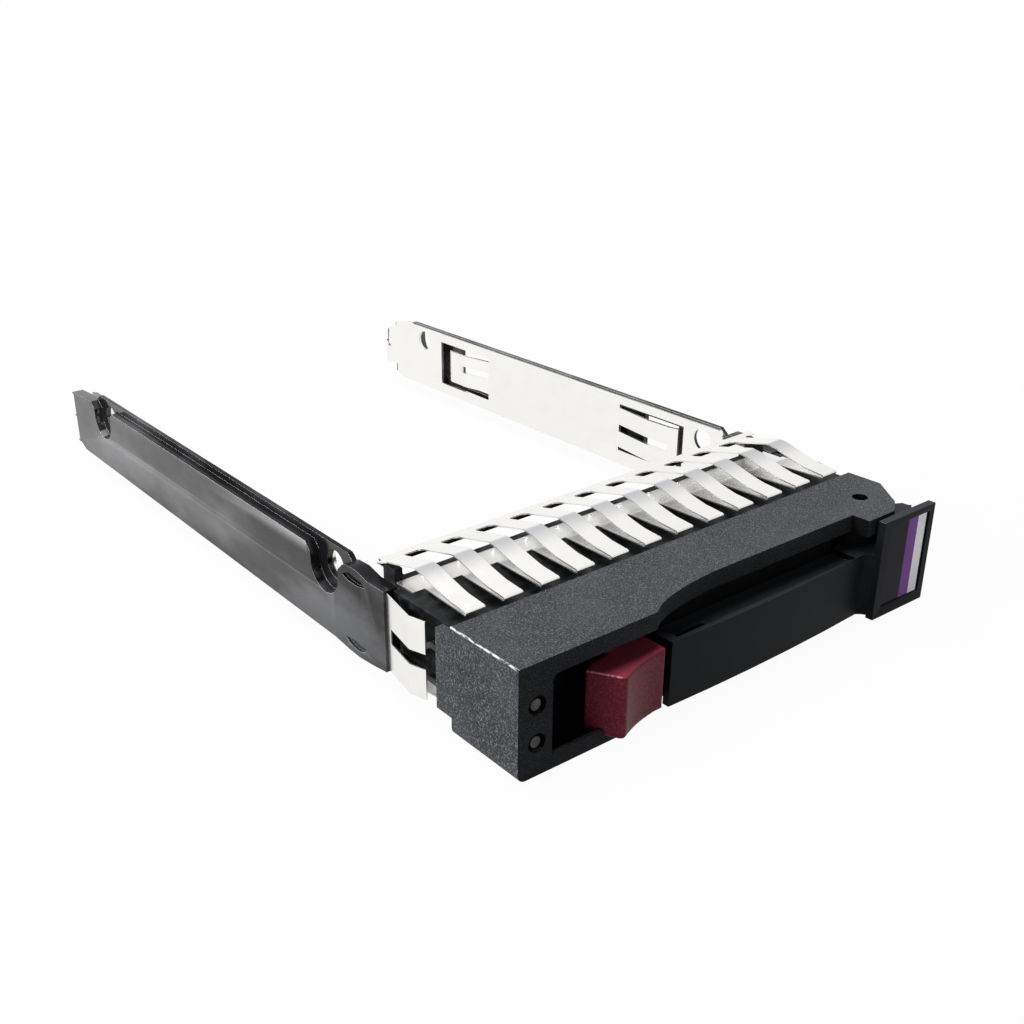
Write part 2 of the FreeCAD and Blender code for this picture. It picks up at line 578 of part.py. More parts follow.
def make_liner(label, mirrored):
    """A stainless strip with screw holes and two spring tongues, flat against the rail."""
    body = new_body(label)
    g = s.liner_gauge

    def span(near, far):
        near, far = s.rail_thick + near, s.rail_thick + far
        return (s.width - far, s.width - near) if mirrored else (near, far)

    def bent(route):
        """Plan of a strip bent inwards, from its route of places along the rail and depths."""
        side = [(s.width - s.rail_thick - depth if mirrored else s.rail_thick + depth, along)
                for along, depth in route]
        back = [(s.width - s.rail_thick - depth - g if mirrored else s.rail_thick + depth + g, along)
                for along, depth in route]
        return side + back[::-1]

    low, high, tail = s.liner_low, s.liner_high, s.depth - s.liner_short
    front, rear, start = s.screw_front, s.screw_rear, s.liner_front
    shoulder = high - 1.3
    outline = [(s.rail_front, low + 0.2), (tail - 6.5, low), (tail - 4.1, low + 0.6), (tail - 4.0, low + 2.6),
               (tail, low + 2.4), (tail, 8.0), (tail - 2.0, 8.45), (tail - 0.9, 8.8), (tail - 1.2, 12.7),
               (tail - 3.8, high - 1.9), (tail - 4.1, high - 0.6), (tail - 6.7, high),
               (start + 0.7, high), (start, shoulder), (s.rail_front, shoulder)]
    add(body, "x", *span(0, g), [outline])
    holes = [((front, s.screw_z), s.screw_hole), ((rear, s.screw_z), s.screw_hole)]
    cut(body, "x", *span(0, g), circles=holes)
    # Rear window, with a tongue on two legs that stands in from the strip.
    root = rear - 21.4
    cut(body, "x", *span(0, g), [box(root, 4.4, root + s.rear_window, 13.3)])
    tip = root + 11.3
    tongue = bent([(root, as_dim(0)), (root + 5.6, s.tongue_in), (tip - 0.8, s.tongue_in), (tip, s.tongue_in * 0.7)])
    add(body, "z", 6.2, 12.6, [tongue])
    cut(body, "x", *span(g, s.tongue_in + g * 2), [box(root, 9.0, root + 7.2, 10.4)])
    cut(body, "x", *span(0, g), [box(root + s.fit, 9.0, root + 7.2, 10.4)])
    # Front window, with two strips that bow in and share one upright at their free ends.
    near = front + 3.9
    root = near + s.front_window
    cut(body, "x", *span(0, g), [box(near, 5.0, root, 13.6)])
    bow = s.tongue_in * 0.75
    strips = bent([(root, as_dim(0)), (near + 7.5, bow), (near + 2.5, bow * 0.8), (near + 1.0, bow * 0.2)])
    add(body, "z", 5.6, 12.9, [strips])
    cut(body, "x", *span(0, bow + g * 2), [box(near + 2.8, 8.5, root, 9.8)])


def make_side_spring(label, mirrored):
    """Two bowed fingers on one strip that is held in the front end of the rail."""
    body = new_body(label)
    g = s.gauge

    def at(depth):
        return s.width - depth if mirrored else as_dim(depth)

    seat = s.rail_front + s.side_grip
    back = s.rail_front - s.play
    crease, tip = back - s.side_bow, back - s.side_long
    bow = [(at(s.side_seat), seat), (at(s.side_seat), back), (at(-s.side_out), crease), (at(-0.1), tip),
           (at(0.1), tip), (at(g - s.side_out), crease + 0.1), (at(s.side_seat + g), back), (at(s.side_seat + g), seat)]
    low, high = s.rail_low + 0.6, s.rail_high - 0.4
    add(body, "z", low, high, [bow])
    cut(body, "x", *in_order(at(-2), at(2)), [box(tip - 1, low + 4.4, back - 1, low + 6.6)])


def make_lever():
    body = new_body("lever")
    low, high, deep, left = s.lever_low, s.lever_high, s.lever_deep, s.lever_left
    right = s.hub_left
    arm_end = s.tab_left + 1.5
    for bottom, back in ((low, s.lever_keel), (s.window_sill + s.play, deep)):
        arm = [(left, 0), Arc(s.lever_bow, "right"), (arm_end, s.lever_fall),
               (arm_end, back), (left + 1.5, back), Arc(1.6, "left"), (left, back - 1.5)]
        add(body, "z", bottom, high, [arm])
    first = s.keeper_end - 0.4
    step = (right - first) / s.rib_count
    cell = cut(body, "y", s.lever_wall, deep,
               [box(first, low + s.lever_wall, first + step - s.rib_thick, high - s.lever_wall)])
    repeat(body, [cell], "X_Axis", step, s.rib_count)
    # The shelf on top is scooped for a fingertip and has one slot at its left.
    scoop = [(s.scoop_lip, high), Arc(4, "right"), (deep + 0.1, high - s.scoop_sunk), (deep + 0.1, high + 0.1),
             (s.scoop_lip, high + 0.1)]
    cut(body, "x", left + 1.5, right, [scoop])
    slot_left, slot_front = left + 1.8, s.lever_wall + 0.1
    slot = box(slot_left, slot_front, slot_left + s.slot_long, slot_front + s.slot_wide)
    cut(body, "z", high - s.lever_wall - 0.1, high, [slot])
    hub_low, hub_high = s.floor + s.play, s.under - s.play
    root, face = right + 0.4, s.lever_fall - 0.25
    neck = [(root, face), (s.pivot_x + 1.2, face), (s.pivot_x + 1.2, s.pivot_y), (s.pivot_x - 2.5, s.pivot_y),
            (root, deep - 0.1)]
    add(body, "z", hub_low, high, [neck])
    pivot = (s.pivot_x, s.pivot_y)
    add(body, "z", hub_low, hub_high, circles=[(pivot, s.hub_dia)])
    cam = s.tab_right + s.cam_out
    tooth = [(s.pivot_x + 1.0, 3.0), (s.tab_right - 0.1, 2.0), (cam, 3.2), Arc(1.2, "left"),
             (cam - 0.3, 4.4), (s.pivot_x + 2.5, s.pivot_y + 1.5)]
    add(body, "z", hub_low + s.cam_low, hub_high, [tooth])
    tab_back = s.tab_thick - s.tab_front
    add(body, "y", -s.tab_front, tab_back, [box(s.tab_left, s.tab_low, s.tab_right, s.tab_high)])
    bridge = box(s.tab_left + 0.4, tab_back - 0.01, s.nose_right - 0.3, face + 0.1)
    add(body, "z", hub_low, high, [bridge])
    hollow = [(s.tab_left - s.tab_fillet, s.lever_fall), Arc(s.tab_fillet, "left"), (s.tab_left, 0.4 - s.tab_front),
              (s.tab_left + 0.4, 0.4 - s.tab_front), (s.tab_left + 0.4, s.lever_fall + 0.3),
              (s.tab_left - s.tab_fillet, s.lever_fall + 0.3)]
    add(body, "z", low, high, [hollow])
    keeper_left = left + 0.2
    keeper_right = keeper_left + s.keeper_long
    keeper = [(keeper_left, s.lever_wall), (keeper_right, s.lever_wall), (keeper_right, s.keeper_back),
              (keeper_left + 1.2, s.keeper_back), (keeper_left, s.keeper_back - 1)]
    add(body, "z", s.window_sill + 1, high - 1.5, [keeper])
    # Round pocket for the torsion spring with a boss in it, bore for the pin, and the label's shallow seat.
    pocket_top = hub_low + s.pocket_deep
    cut(body, "z", hub_low, pocket_top, circles=[(pivot, s.hub_dia - s.hub_wall * 2)])
    add(body, "z", hub_low, pocket_top, circles=[(pivot, s.pin_dia + s.boss_wall * 2)])
    cut(body, "z", hub_low, hub_high, circles=[(pivot, s.pin_dia + s.pin_run)])
    cut(body, "y", -s.tab_front, s.label_sunk - s.tab_front, [label_box(as_dim(0))])


def label_box(gap):
    """Face of the tab inside its border, less a gap all round."""
    return box(s.tab_left + s.label_left + gap, s.tab_low + s.label_under + gap,
               s.tab_right - s.label_right - gap, s.tab_high - s.label_over - gap)


def make_label():
    body = new_body("tab_label")
    front = s.label_sunk - s.label_thick - s.tab_front
    add(body, "y", front, front + s.label_thick, [label_box(s.label_gap)])


def post_spot():
    """Left face of the latch's post, and the middle of the spring that presses on it."""
    half = s.latch_coil + s.wire_dia / 2
    return s.latch_left + s.stem_in, s.latch_room - s.play * 2 - half, s.under - s.play - half


def make_latch():
    """A thumb block with a slanted left flank, a ridge and a hollow, on a slide with a hook and a spring post."""
    body = new_body("release_latch")
    left, right = s.latch_left, s.latch_right
    inner = s.latch_room - s.play * 2
    face_low, stem_low = s.latch_low, s.window_sill + s.play
    ridge = (left + s.ridge_in - 0.4, 0.35 - s.latch_out)
    ridge_end = (left + s.ridge_in + 0.5, 0.2 - s.latch_out)
    front = [ridge, Arc(s.ridge_round, "right"), ridge_end, Arc(s.thumb_hollow, "left"), (right, -s.play * 2)]
    foot = left + (s.ridge_in - 0.4) * (s.latch_flank + s.play) / (s.latch_flank + s.latch_out - 0.35)
    add(body, "z", face_low, stem_low, [[(foot, -s.play)] + front + [(right, -s.play)]])
    post, spring_y, spring_z = post_spot()
    flank = [(post, inner), (post, s.latch_flank + 1.3), (left + 1.0, s.latch_flank + 0.8), (left, s.latch_flank)]
    add(body, "z", stem_low, s.lever_high, [flank + front + [(right, inner)]])
    # Beside the flank the slide reaches down behind the window's sill.
    behind = s.sill_lip + s.play
    low_flank = [(left, s.latch_flank), (left + 0.8, behind), (s.sill_end - s.play, behind),
                 (s.sill_end - s.play, s.latch_flank + 0.8), (left + 1.0, s.latch_flank + 0.8)]
    add(body, "z", s.floor + s.play, stem_low, [low_flank])
    hook = box(right, s.plate_scoop + s.sill_lip + s.play, s.lever_left - s.play, inner)
    add(body, "z", s.window_sill + 1, s.lever_high - 1.5, [hook])
    half = s.latch_coil + s.wire_dia / 2
    add(body, "z", s.lever_high, s.under - s.play, [box(post, spring_y - half, post + s.post_wide, inner)])
    peg = s.latch_coil * 2 - s.wire_dia - s.play * 2
    add(body, "x", post - s.latch_coil, post, circles=[((spring_y, spring_z), peg)])


def make_light_pipe(label, height, drop):
    """A clear rod from the lens behind the front hole to the back of the left rail."""
    body = new_body(label)
    half = s.pipe_thick / 2
    middle = s.rail_thick - half - 0.05
    back = s.light_x - middle
    lens_end = s.pipe_turn / 2
    add(body, "y", s.lens_back, lens_end + 0.2, circles=[((s.light_x, height), s.lens_dia)])
    ramp_end = s.rail_front - s.pipe_ramp
    ramp_start = ramp_end - s.pipe_ramp
    turn = s.pipe_turn
    plan = [(middle - half, turn + back), (s.light_x - half, turn), (s.light_x - half, lens_end),
            (s.light_x + half, lens_end), (s.light_x + half, turn + 0.5), (middle + half, turn + 0.5 + back),
            (middle + half, ramp_start), (middle - half, ramp_start)]
    add(body, "z", height - half, height + half, [plan])
    low = height - drop
    ramp = [(ramp_start, height - half), (ramp_end, low - half), (s.pipe_end, low - half),
            (s.pipe_end, low + half), (ramp_end, low + half), (ramp_start, height + half)]
    add(body, "x", middle - half, middle + half, [ramp])


def make_pin():
    body = new_body("lever_pivot_pin")
    add(body, "z", s.floor / 2, s.bezel_tall - s.pin_sunk, circles=[((s.pivot_x, s.pivot_y), s.pin_dia)])


TURN_STEPS = 10
WIRE_SIDES = 6


def make_coil(label, radius, length, turns, spot, turned):
    """A wire wound up from the piece's own origin in short lengths, then turned and set on its spot."""
    wire = s.wire_dia.value / 2
    steps = int(turns.value * TURN_STEPS)
    rings = []
    for step in range(steps + 1):
        turn = math.tau * step / TURN_STEPS
        ring = []
        for side in range(WIRE_SIDES):
            lean = math.tau * side / WIRE_SIDES
            out = radius.value + wire * math.cos(lean)
            rise = length.value * step / steps + wire * math.sin(lean)
            ring.append(Vector(out * math.cos(turn), out * math.sin(turn), rise))
        rings.append(ring)
    outlines = [rings[0], rings[-1]]
    for ring, after in zip(rings, rings[1:]):
        for side in range(WIRE_SIDES):
            beside = (side + 1) % WIRE_SIDES
            outlines.append([ring[side], ring[beside], after[side]])
            outlines.append([ring[beside], after[beside], after[side]])
    shell = Part.makeShell([Part.Face(Part.makePolygon(outline + outline[:1])) for outline in outlines])
    shell.sewShape()
    item = doc.addObject("Part::Feature", label)
    item.Label = label
    item.Shape = Part.Solid(shell)
    item.Placement = Placement(Vector(), turned)
    for axis, place_along in zip("xyz", spot):
        item.setExpression("Placement.Base." + axis, place_along.text)


def make_lever_spring():
    radius = (s.hub_dia / 2 - s.hub_wall + s.pin_dia / 2 + s.boss_wall) / 2
    base = s.floor + s.play + s.wire_dia
    make_coil("lever_spring", radius, s.pocket_deep - s.wire_dia * 2.5, s.lever_turns,
              (s.pivot_x - mid_x, s.pivot_y - mid_y, base), Rotation())


def make_latch_spring():
    post, spring_y, spring_z = post_spot()
    left = s.window_left + s.wire_dia / 2 + 0.05
    length = post - left - s.wire_dia / 2 - 0.05
    make_coil("latch_spring", s.latch_coil, length, s.latch_turns,
              (left - mid_x, spring_y - mid_y, spring_z), Rotation(Vector(0, 1, 0), 90))


make_bezel()
make_inner_frame()
inside = s.width - s.rail_thick - s.liner_gauge
make_comb("top_comb", s.deck_top, s.crest_high, s.tie_low + s.tie_tall, s.tie_back + s.gauge,
          inside + s.finger_wide / 3)
make_comb("bottom_comb", s.belly_low, s.crest_low, s.belly_low, s.deck_back + s.gauge, inside - s.gauge)
for side_name, is_right in (("left", False), ("right", True)):
    make_rail(side_name + "_rail", is_right)
    make_liner(side_name + "_rail_liner", is_right)
    make_side_spring(side_name + "_side_spring", is_right)
make_lever()
make_label()
make_latch()
make_light_pipe("upper_light_pipe", s.light_high, s.high_drop)
make_light_pipe("lower_light_pipe", s.light_low, s.low_drop)
make_pin()
make_lever_spring()
make_latch_spring()

doc.recompute()
pieces = [item for item in doc.Objects if item.TypeId in ("PartDesign::Body", "Part::Feature")]
for item in doc.Objects:
    if "Invalid" in item.State or "Error" in item.State:
        raise RuntimeError("%s failed: %s" % (item.Name, item.State))
for item in pieces:
    if item.Shape.isNull() or not item.Shape.isValid():
        raise RuntimeError("%s has no sound shape" % item.Label)

os.makedirs("parts", exist_ok=True)
for item in pieces:
    item.Shape.exportStep(os.path.join("parts", item.Label + ".step"))
    size = item.Shape.BoundBox
    print("%-18s %6.0f mm3 %d solid, x %.1f to %.1f, y %.1f to %.1f, z %.1f to %.1f" % (
        item.Label, item.Shape.Volume, len(item.Shape.Solids),
        size.XMin, size.XMax, size.YMin, size.YMax, size.ZMin, size.ZMax))
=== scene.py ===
# %% [markdown]
# A hot swap drive caddy, dressed from its construction model.
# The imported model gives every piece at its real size. Here each piece gets the edges, sheet bends and
# finishes that a camera sees: spark textured plastic, glossy rails, bright spring steel and a printed tab.

import math

import bmesh
import bpy
from mathutils import Matrix, Vector


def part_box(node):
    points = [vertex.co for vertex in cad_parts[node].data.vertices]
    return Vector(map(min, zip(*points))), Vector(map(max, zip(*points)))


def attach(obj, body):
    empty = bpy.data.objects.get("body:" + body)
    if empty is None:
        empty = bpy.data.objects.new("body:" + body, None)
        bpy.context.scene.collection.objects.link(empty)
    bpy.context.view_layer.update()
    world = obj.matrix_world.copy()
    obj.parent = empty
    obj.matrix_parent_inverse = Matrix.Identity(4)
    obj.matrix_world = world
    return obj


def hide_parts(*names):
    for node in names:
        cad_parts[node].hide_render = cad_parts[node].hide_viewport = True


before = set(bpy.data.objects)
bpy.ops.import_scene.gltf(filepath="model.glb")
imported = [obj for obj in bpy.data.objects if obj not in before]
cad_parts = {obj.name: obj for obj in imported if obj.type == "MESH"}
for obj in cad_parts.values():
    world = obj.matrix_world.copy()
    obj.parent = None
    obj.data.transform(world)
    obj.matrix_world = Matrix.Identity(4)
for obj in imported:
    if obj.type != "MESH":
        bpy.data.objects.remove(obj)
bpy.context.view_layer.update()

# %% [markdown]
# Lengths are easier to read in millimetres, and the object is drawn from the front left bottom corner
# of its bezel. One helper turns such a place into the model's own metres.

# %% Places in millimetres
MM = 0.001
bezel_low, bezel_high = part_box("bezel")
CORNER = Vector((bezel_low.x, bezel_low.y, bezel_low.z))


def place(x, y, z):
    """A point given in millimetres from the bezel's front left bottom corner."""
    return CORNER + Vector((x, y, z)) * MM


print("bezel corner at", [round(v, 5) for v in CORNER])

# %% [markdown]
# The camera stands where the picture was taken from. The angles, the lens and the shift were solved from
# the standard drive sizes that the caddy is built round: the picture is a crop, so its optical axis lies
# left of the middle, and a small lens shift says the same.

# %% Camera
IMAGE = 1024
FOCAL_PIXELS = 1244.75
AXIS_U = 351.0
AXIS_V = 529.1
AZIMUTH = math.radians(-31.995)
ELEVATION = math.radians(25.153)
ROLL = math.radians(-3.108)
CAMERA_SPOT = (-77.162, -90.209, 88.969)
SENSOR = 36.0


def make_camera():
    back = Vector((math.sin(AZIMUTH) * math.cos(ELEVATION),
                   -math.cos(AZIMUTH) * math.cos(ELEVATION),
                   math.sin(ELEVATION)))
    right = Vector((0, 0, 1)).cross(back).normalized()
    up = back.cross(right)
    turned_right = right * math.cos(ROLL) + up * math.sin(ROLL)
    turned_up = up * math.cos(ROLL) - right * math.sin(ROLL)
    data = bpy.data.cameras.new("photo_camera")
    data.sensor_width = SENSOR
    data.lens = SENSOR * FOCAL_PIXELS / IMAGE
    data.shift_x = 0.5 - AXIS_U / IMAGE
    data.shift_y = AXIS_V / IMAGE - 0.5
    data.clip_start = 0.005
    data.clip_end = 100
    camera = bpy.data.objects.new("photo_camera", data)
    turn = Matrix((turned_right, turned_up, back)).transposed().to_4x4()
    camera.matrix_world = Matrix.Translation(place(*CAMERA_SPOT)) @ turn
    bpy.context.scene.collection.objects.link(camera)
    bpy.context.scene.camera = camera
    return camera


camera = make_camera()
print("camera lens", round(camera.data.lens, 2), "mm, shift", round(camera.data.shift_x, 4))

# %% [markdown]
# Materials are small node trees. One helper adds a node and fills its inputs by name, and short ones do
# sums, soft steps and mixed colours, so that a finish reads as a recipe.

# %% Node helpers


def fill(tree, socket, value):
    """Puts a value or a link into a socket."""
    if isinstance(value, bpy.types.NodeSocket):
        tree.links.new(value, socket)
    else:
        socket.default_value = value


def node(tree, kind, settings=None, **inputs):
    """Adds a node, with settings on the node itself and values or links on its inputs."""
    made = tree.nodes.new(kind)
    for name, value in (settings or {}).items():
        setattr(made, name, value)
    for name, value in inputs.items():
        fill(tree, made.inputs[name.replace("_", " ")], value)
    return made


def reckon(tree, operation, first, second):
    """The result of one operation on two values or links."""
    made = node(tree, "ShaderNodeMath", {"operation": operation})
    fill(tree, made.inputs[0], first)
    fill(tree, made.inputs[1], second)
    return made.outputs[0]


def times(tree, first, second):
    return reckon(tree, "MULTIPLY", first, second)


def plus(tree, first, second):
    return reckon(tree, "ADD", first, second)


def minus(tree, first, second):
    return reckon(tree, "SUBTRACT", first, second)


def larger(tree, first, second):
    return reckon(tree, "MAXIMUM", first, second)


def ramp(tree, factor, start, end):
    """0 up to start and 1 from end on, smooth between. Start may be the larger one."""
    made = node(tree, "ShaderNodeMapRange", {"interpolation_type": "SMOOTHSTEP"}, Value=factor,
                From_Min=start, From_Max=end)
    return made.outputs["Result"]


def mixed(tree, factor, first, second):
    """A colour between two others."""
    # A mix node has sockets for every kind of value: 6 and 7 take its colours, and 2 gives the result.
    made = node(tree, "ShaderNodeMix", {"data_type": "RGBA"})
    for spot, value in ((0, factor), (6, first), (7, second)):
        fill(tree, made.inputs[spot], value)
    return made.outputs[2]


print("helpers for recipes", [helper.__name__ for helper in (times, plus, minus, larger, ramp, mixed)])

# %% [markdown]
# Every finish starts alike, from a shader and the piece's own coordinates. Noise is sized in millimetres.
# The surface's normal says which way it looks, so that a recipe can tell tops, fronts and edges apart.

# %% What every finish shares


def new_finish(name):
    """An empty material with its shader and the piece's own coordinates."""
    material = bpy.data.materials.new(name)
    material.use_nodes = True
    tree = material.node_tree
    spots = node(tree, "ShaderNodeTexCoord").outputs["Object"]
    return material, tree, tree.nodes["Principled BSDF"], spots


def noise(tree, spots, size, detail=2.0, stretch=(1, 1, 1)):
    """Noise whose blotches are about size millimetres across, drawn out along an axis by stretch."""
    scaled = node(tree, "ShaderNodeMapping", Vector=spots, Scale=[1 / s for s in stretch])
    made = node(tree, "ShaderNodeTexNoise", Vector=scaled.outputs["Vector"], Scale=1 / (size * MM),
                Detail=detail)
    return made.outputs["Fac"]


def facing(tree):
    """The X, Y and Z of the way that the surface looks."""
    normal = node(tree, "ShaderNodeTexCoord").outputs["Normal"]
    return node(tree, "ShaderNodeSeparateXYZ", Vector=normal).outputs


def ruler(tree, spots):
    """The three coordinates in millimetres from the bezel's corner."""
    apart = node(tree, "ShaderNodeSeparateXYZ", Vector=spots)
    return [times(tree, minus(tree, apart.outputs[axis], CORNER[spot]), 1 / MM)
            for spot, axis in enumerate("XYZ")]


def bump(tree, shader, height, depth):
    """Presses a height into the surface, depth millimetres deep."""
    made = node(tree, "ShaderNodeBump", Height=height, Distance=depth * MM, Strength=1.0)
    tree.links.new(made.outputs["Normal"], shader.inputs["Normal"])


finishes = {}
print("a finish starts from", [part.__name__ for part in (new_finish, noise, facing, ruler, bump)])

# %% [markdown]
# No light gets into the latch's room, the recess behind the lever or the pin's hole, and the walls there
# stay black. A real studio shows that by shadow alone, but the white backdrop that reflections see here
# would light them up, so painted shade goes into the finish there: black inside these places and on the
# inner walls that look left.

# %% Where painted shade darkens the bezel
TALL = (bezel_high.z - bezel_low.z) / MM
ROOF = 2.46
pin_low, pin_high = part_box("lever_pivot_pin")
PIVOT = ((pin_low + pin_high) / 2 - CORNER) / MM
HOLE = 1.75
HOLE_EDGE = 0.1
WALL_SHADE = 0.97
BEHIND_FACE = (0.2, 1.6)
INSIDE_SIDE = (0.4, 0.8)
OVER_FLOOR = (0.3, 0.6)
UNDER_ROOF = (TALL - ROOF + 0.05, TALL - ROOF - 0.15)
PAST_SIDE = (2.0, 4.0)
LOOKS_LEFT = (-0.4, -0.8)
LOOKS_ASIDE = (0.8, 0.5)


def painted_shade_rooms(tree, spots, look):
    """Painted shade: 1 inside the latch's room, the recess, the pivot hole and on inner walls that look
    left, 0 on the outer faces.
    """
    x, y, z = ruler(tree, spots)
    behind = times(tree, ramp(tree, y, *BEHIND_FACE), ramp(tree, x, *INSIDE_SIDE))
    between = times(tree, ramp(tree, z, *OVER_FLOOR), ramp(tree, z, *UNDER_ROOF))
    walls = times(tree, ramp(tree, look["X"], *LOOKS_LEFT), ramp(tree, x, *PAST_SIDE))
    off_x = minus(tree, x, PIVOT.x)
    off_y = minus(tree, y, PIVOT.y)
    off = plus(tree, times(tree, off_x, off_x), times(tree, off_y, off_y))
    hole = times(tree, ramp(tree, off, (HOLE + HOLE_EDGE) ** 2, HOLE ** 2),
                 ramp(tree, look["Z"], *LOOKS_ASIDE))
    return larger(tree, times(tree, behind, between), larger(tree, times(tree, walls, WALL_SHADE), hole))


print("pivot at", [round(v, 2) for v in PIVOT.xy], "mm in a bezel", round(TALL, 2), "mm tall")

# %% [markdown]
# The bezel comes from a spark eroded mould, which leaves a fine sandy skin. Its grains catch the light as
# pale specks, so the colour, the roughness and the bump share one fine noise, and a broad soft noise keeps
# the large faces from looking flat. The upper left edge gets a pale line that is partly wear from handling
# and partly a painted highlight. The faces that look forward get painted shade, darker than the top and
# the left side, which the lamps light.

# %% Spark textured plastic
SPARK_GRAIN = 0.19
SPARK_DARK = (0.018, 0.0198, 0.0232, 1)
SPARK_PALE = (0.170, 0.177, 0.190, 1)
SPARK_BLOTCH = (0.085, 0.090, 0.100, 1)
SPARK_RUBBED_AND_HIGHLIGHT = (0.62, 0.63, 0.64, 1)
SPARK_FRONT_SHADE = (0.006, 0.0065, 0.0075, 1)
SPARK_UNLIT = (0.002, 0.002, 0.002, 1)
SPARK_DEPTH = 0.12
SPECKS = (0.46, 0.78)
BLOTCHES = (0.35, 0.75)
BLOTCH_SHARE = 0.22
RUB_AND_HIGHLIGHT_REACH = (0.27, 0.10)
RUB_AND_HIGHLIGHT_BREAKS = (0.40, 0.54)
LOOKS_FORWARD = (-0.15, -0.6)
FRONT_SHADE_SHARE = 0.75
SHEEN = 0.12
SHEEN_LOSS = -0.09


def bezel_finish():
    material, tree, shader, spots = new_finish("bezel_spark")
    look = facing(tree)
    grains = noise(tree, spots, SPARK_GRAIN, 3.0)
    base = mixed(tree, ramp(tree, grains, *SPECKS), SPARK_DARK, SPARK_PALE)
    blotches = ramp(tree, noise(tree, spots, 8.0, 4.0), *BLOTCHES)
    base = mixed(tree, times(tree, blotches, BLOTCH_SHARE), base, SPARK_BLOTCH)
    # A pale broken line along the upper left edge: partly wear, partly a painted highlight.
    x, _, z = ruler(tree, spots)
    from_edge = plus(tree, x, minus(tree, TALL, z))
    broken = noise(tree, spots, 0.5, 4.0, (1, 2.5, 1))
    rubbed_and_highlight = times(tree, ramp(tree, from_edge, *RUB_AND_HIGHLIGHT_REACH), ramp(tree, broken, *RUB_AND_HIGHLIGHT_BREAKS))
    base = mixed(tree, rubbed_and_highlight, base, SPARK_RUBBED_AND_HIGHLIGHT)
    # Painted shade: the rooms, the recess, the hole and the inner walls that look left are painted black.
    painted_shade = painted_shade_rooms(tree, spots, look)
    base = mixed(tree, painted_shade, base, SPARK_UNLIT)
    # Painted shade: faces that look forward are darkened towards black.
    front = ramp(tree, look["Y"], *LOOKS_FORWARD)
    base = mixed(tree, times(tree, front, FRONT_SHADE_SHARE), base, SPARK_FRONT_SHADE)
    tree.links.new(base, shader.inputs["Base Color"])
    tree.links.new(plus(tree, times(tree, grains, 0.25), 0.45), shader.inputs["Roughness"])
    sheen = plus(tree, times(tree, larger(tree, painted_shade, front), SHEEN_LOSS), SHEEN)
    tree.links.new(sheen, shader.inputs["Specular IOR Level"])
    bump(tree, shader, grains, SPARK_DEPTH)
    return material


finishes["bezel"] = bezel_finish()
print("finish", finishes["bezel"].name, "with grains of", SPARK_GRAIN, "mm")

# %% [markdown]
# The lever is the same plastic from a polished mould: nearly smooth, satin, with only a faint waviness.
# The inner frame is duller and a little dusty. The latch has a fine even grain in burgundy. All three are
# one recipe with other numbers: two colours that drift into each other, grain and waviness in the bump.
# The lever and the latch get painted light: a paler top, and a painted highlight on the rim where the top
# turns over to the left.

# %% Lever, frame and latch plastics
WAVE = 14.0
WAVE_DEEP = 0.02
# Which faces get the painted top light and the painted rim highlight.
LOOKS_UP = (0.25, 0.70)
RIM_UP = (0.35, 0.60)
RIM_LEFT = (-0.35, -0.60)
RIM_BREAKS = (0.38, 0.55)


def moulded(name, colour, pale, roughness, shine, grain, depth, drift=6.0, painted_top_light=None, rim=None):
    """Two colours that drift into each other over a grain, and where given a painted paler top and a painted
    rim highlight.
    """
    material, tree, shader, spots = new_finish(name)
    clouds = noise(tree, spots, drift, 4.0)
    base = mixed(tree, times(tree, ramp(tree, clouds, 0.40, 0.72), 0.7), colour, pale)
    if painted_top_light:
        look = facing(tree)
        # Painted light: faces that look up are paler, and the rim that turns over to the left gets a painted
        # highlight.
        base = mixed(tree, ramp(tree, look["Z"], *LOOKS_UP), base, painted_top_light)
        rim_highlight = times(tree, ramp(tree, look["Z"], *RIM_UP), ramp(tree, look["X"], *RIM_LEFT))
        base = mixed(tree, times(tree, rim_highlight, ramp(tree, clouds, *RIM_BREAKS)), base, rim)
    tree.links.new(base, shader.inputs["Base Color"])
    tree.links.new(plus(tree, times(tree, clouds, 0.12), roughness - 0.06), shader.inputs["Roughness"])
    shader.inputs["Specular IOR Level"].default_value = shine
    fine = times(tree, noise(tree, spots, grain, 2.0), depth)
    slow = times(tree, noise(tree, spots, WAVE, 1.0), WAVE_DEEP)
    bump(tree, shader, plus(tree, fine, slow), 1.0)
    return material


# The top and rim colours below are painted light: a paler top and a painted rim highlight.
finishes["lever"] = moulded("lever_satin", (0.006, 0.0072, 0.0088, 1), (0.010, 0.0112, 0.013, 1),
                            roughness=0.42, shine=0.04, grain=0.35, depth=0.004,
                            painted_top_light=(0.026, 0.028, 0.033, 1), rim=(0.50, 0.50, 0.52, 1))
finishes["inner_frame"] = moulded("frame_black", (0.004, 0.0045, 0.005, 1), (0.035, 0.037, 0.04, 1),
                                  roughness=0.5, shine=0.12, grain=0.4, depth=0.02, drift=1.6)
finishes["release_latch"] = moulded("latch_burgundy", (0.112, 0.011, 0.020, 1), (0.225, 0.036, 0.052, 1),
                                    roughness=0.34, shine=0.05, grain=0.28, depth=0.030, drift=0.30,
                                    painted_top_light=(0.330, 0.050, 0.085, 1), rim=(0.75, 0.36, 0.40, 1))
print("finishes", sorted(finishes))

# %% [markdown]
# The rails are glossy black mouldings. Their long faces are not quite flat: shrinkage over the ribs inside
# draws the reflections into slow cloudy waves along the rail, and dust lies on them as tiny pale specks.
# The waves are a bump, and paler clouds in the colour are painted reflection. Their narrow top faces
# mirror the dark upper half of a studio, so they stay blacker than the sides, and their rounded upper
# edges get a painted highlight, a bright line where they would catch the lamp.

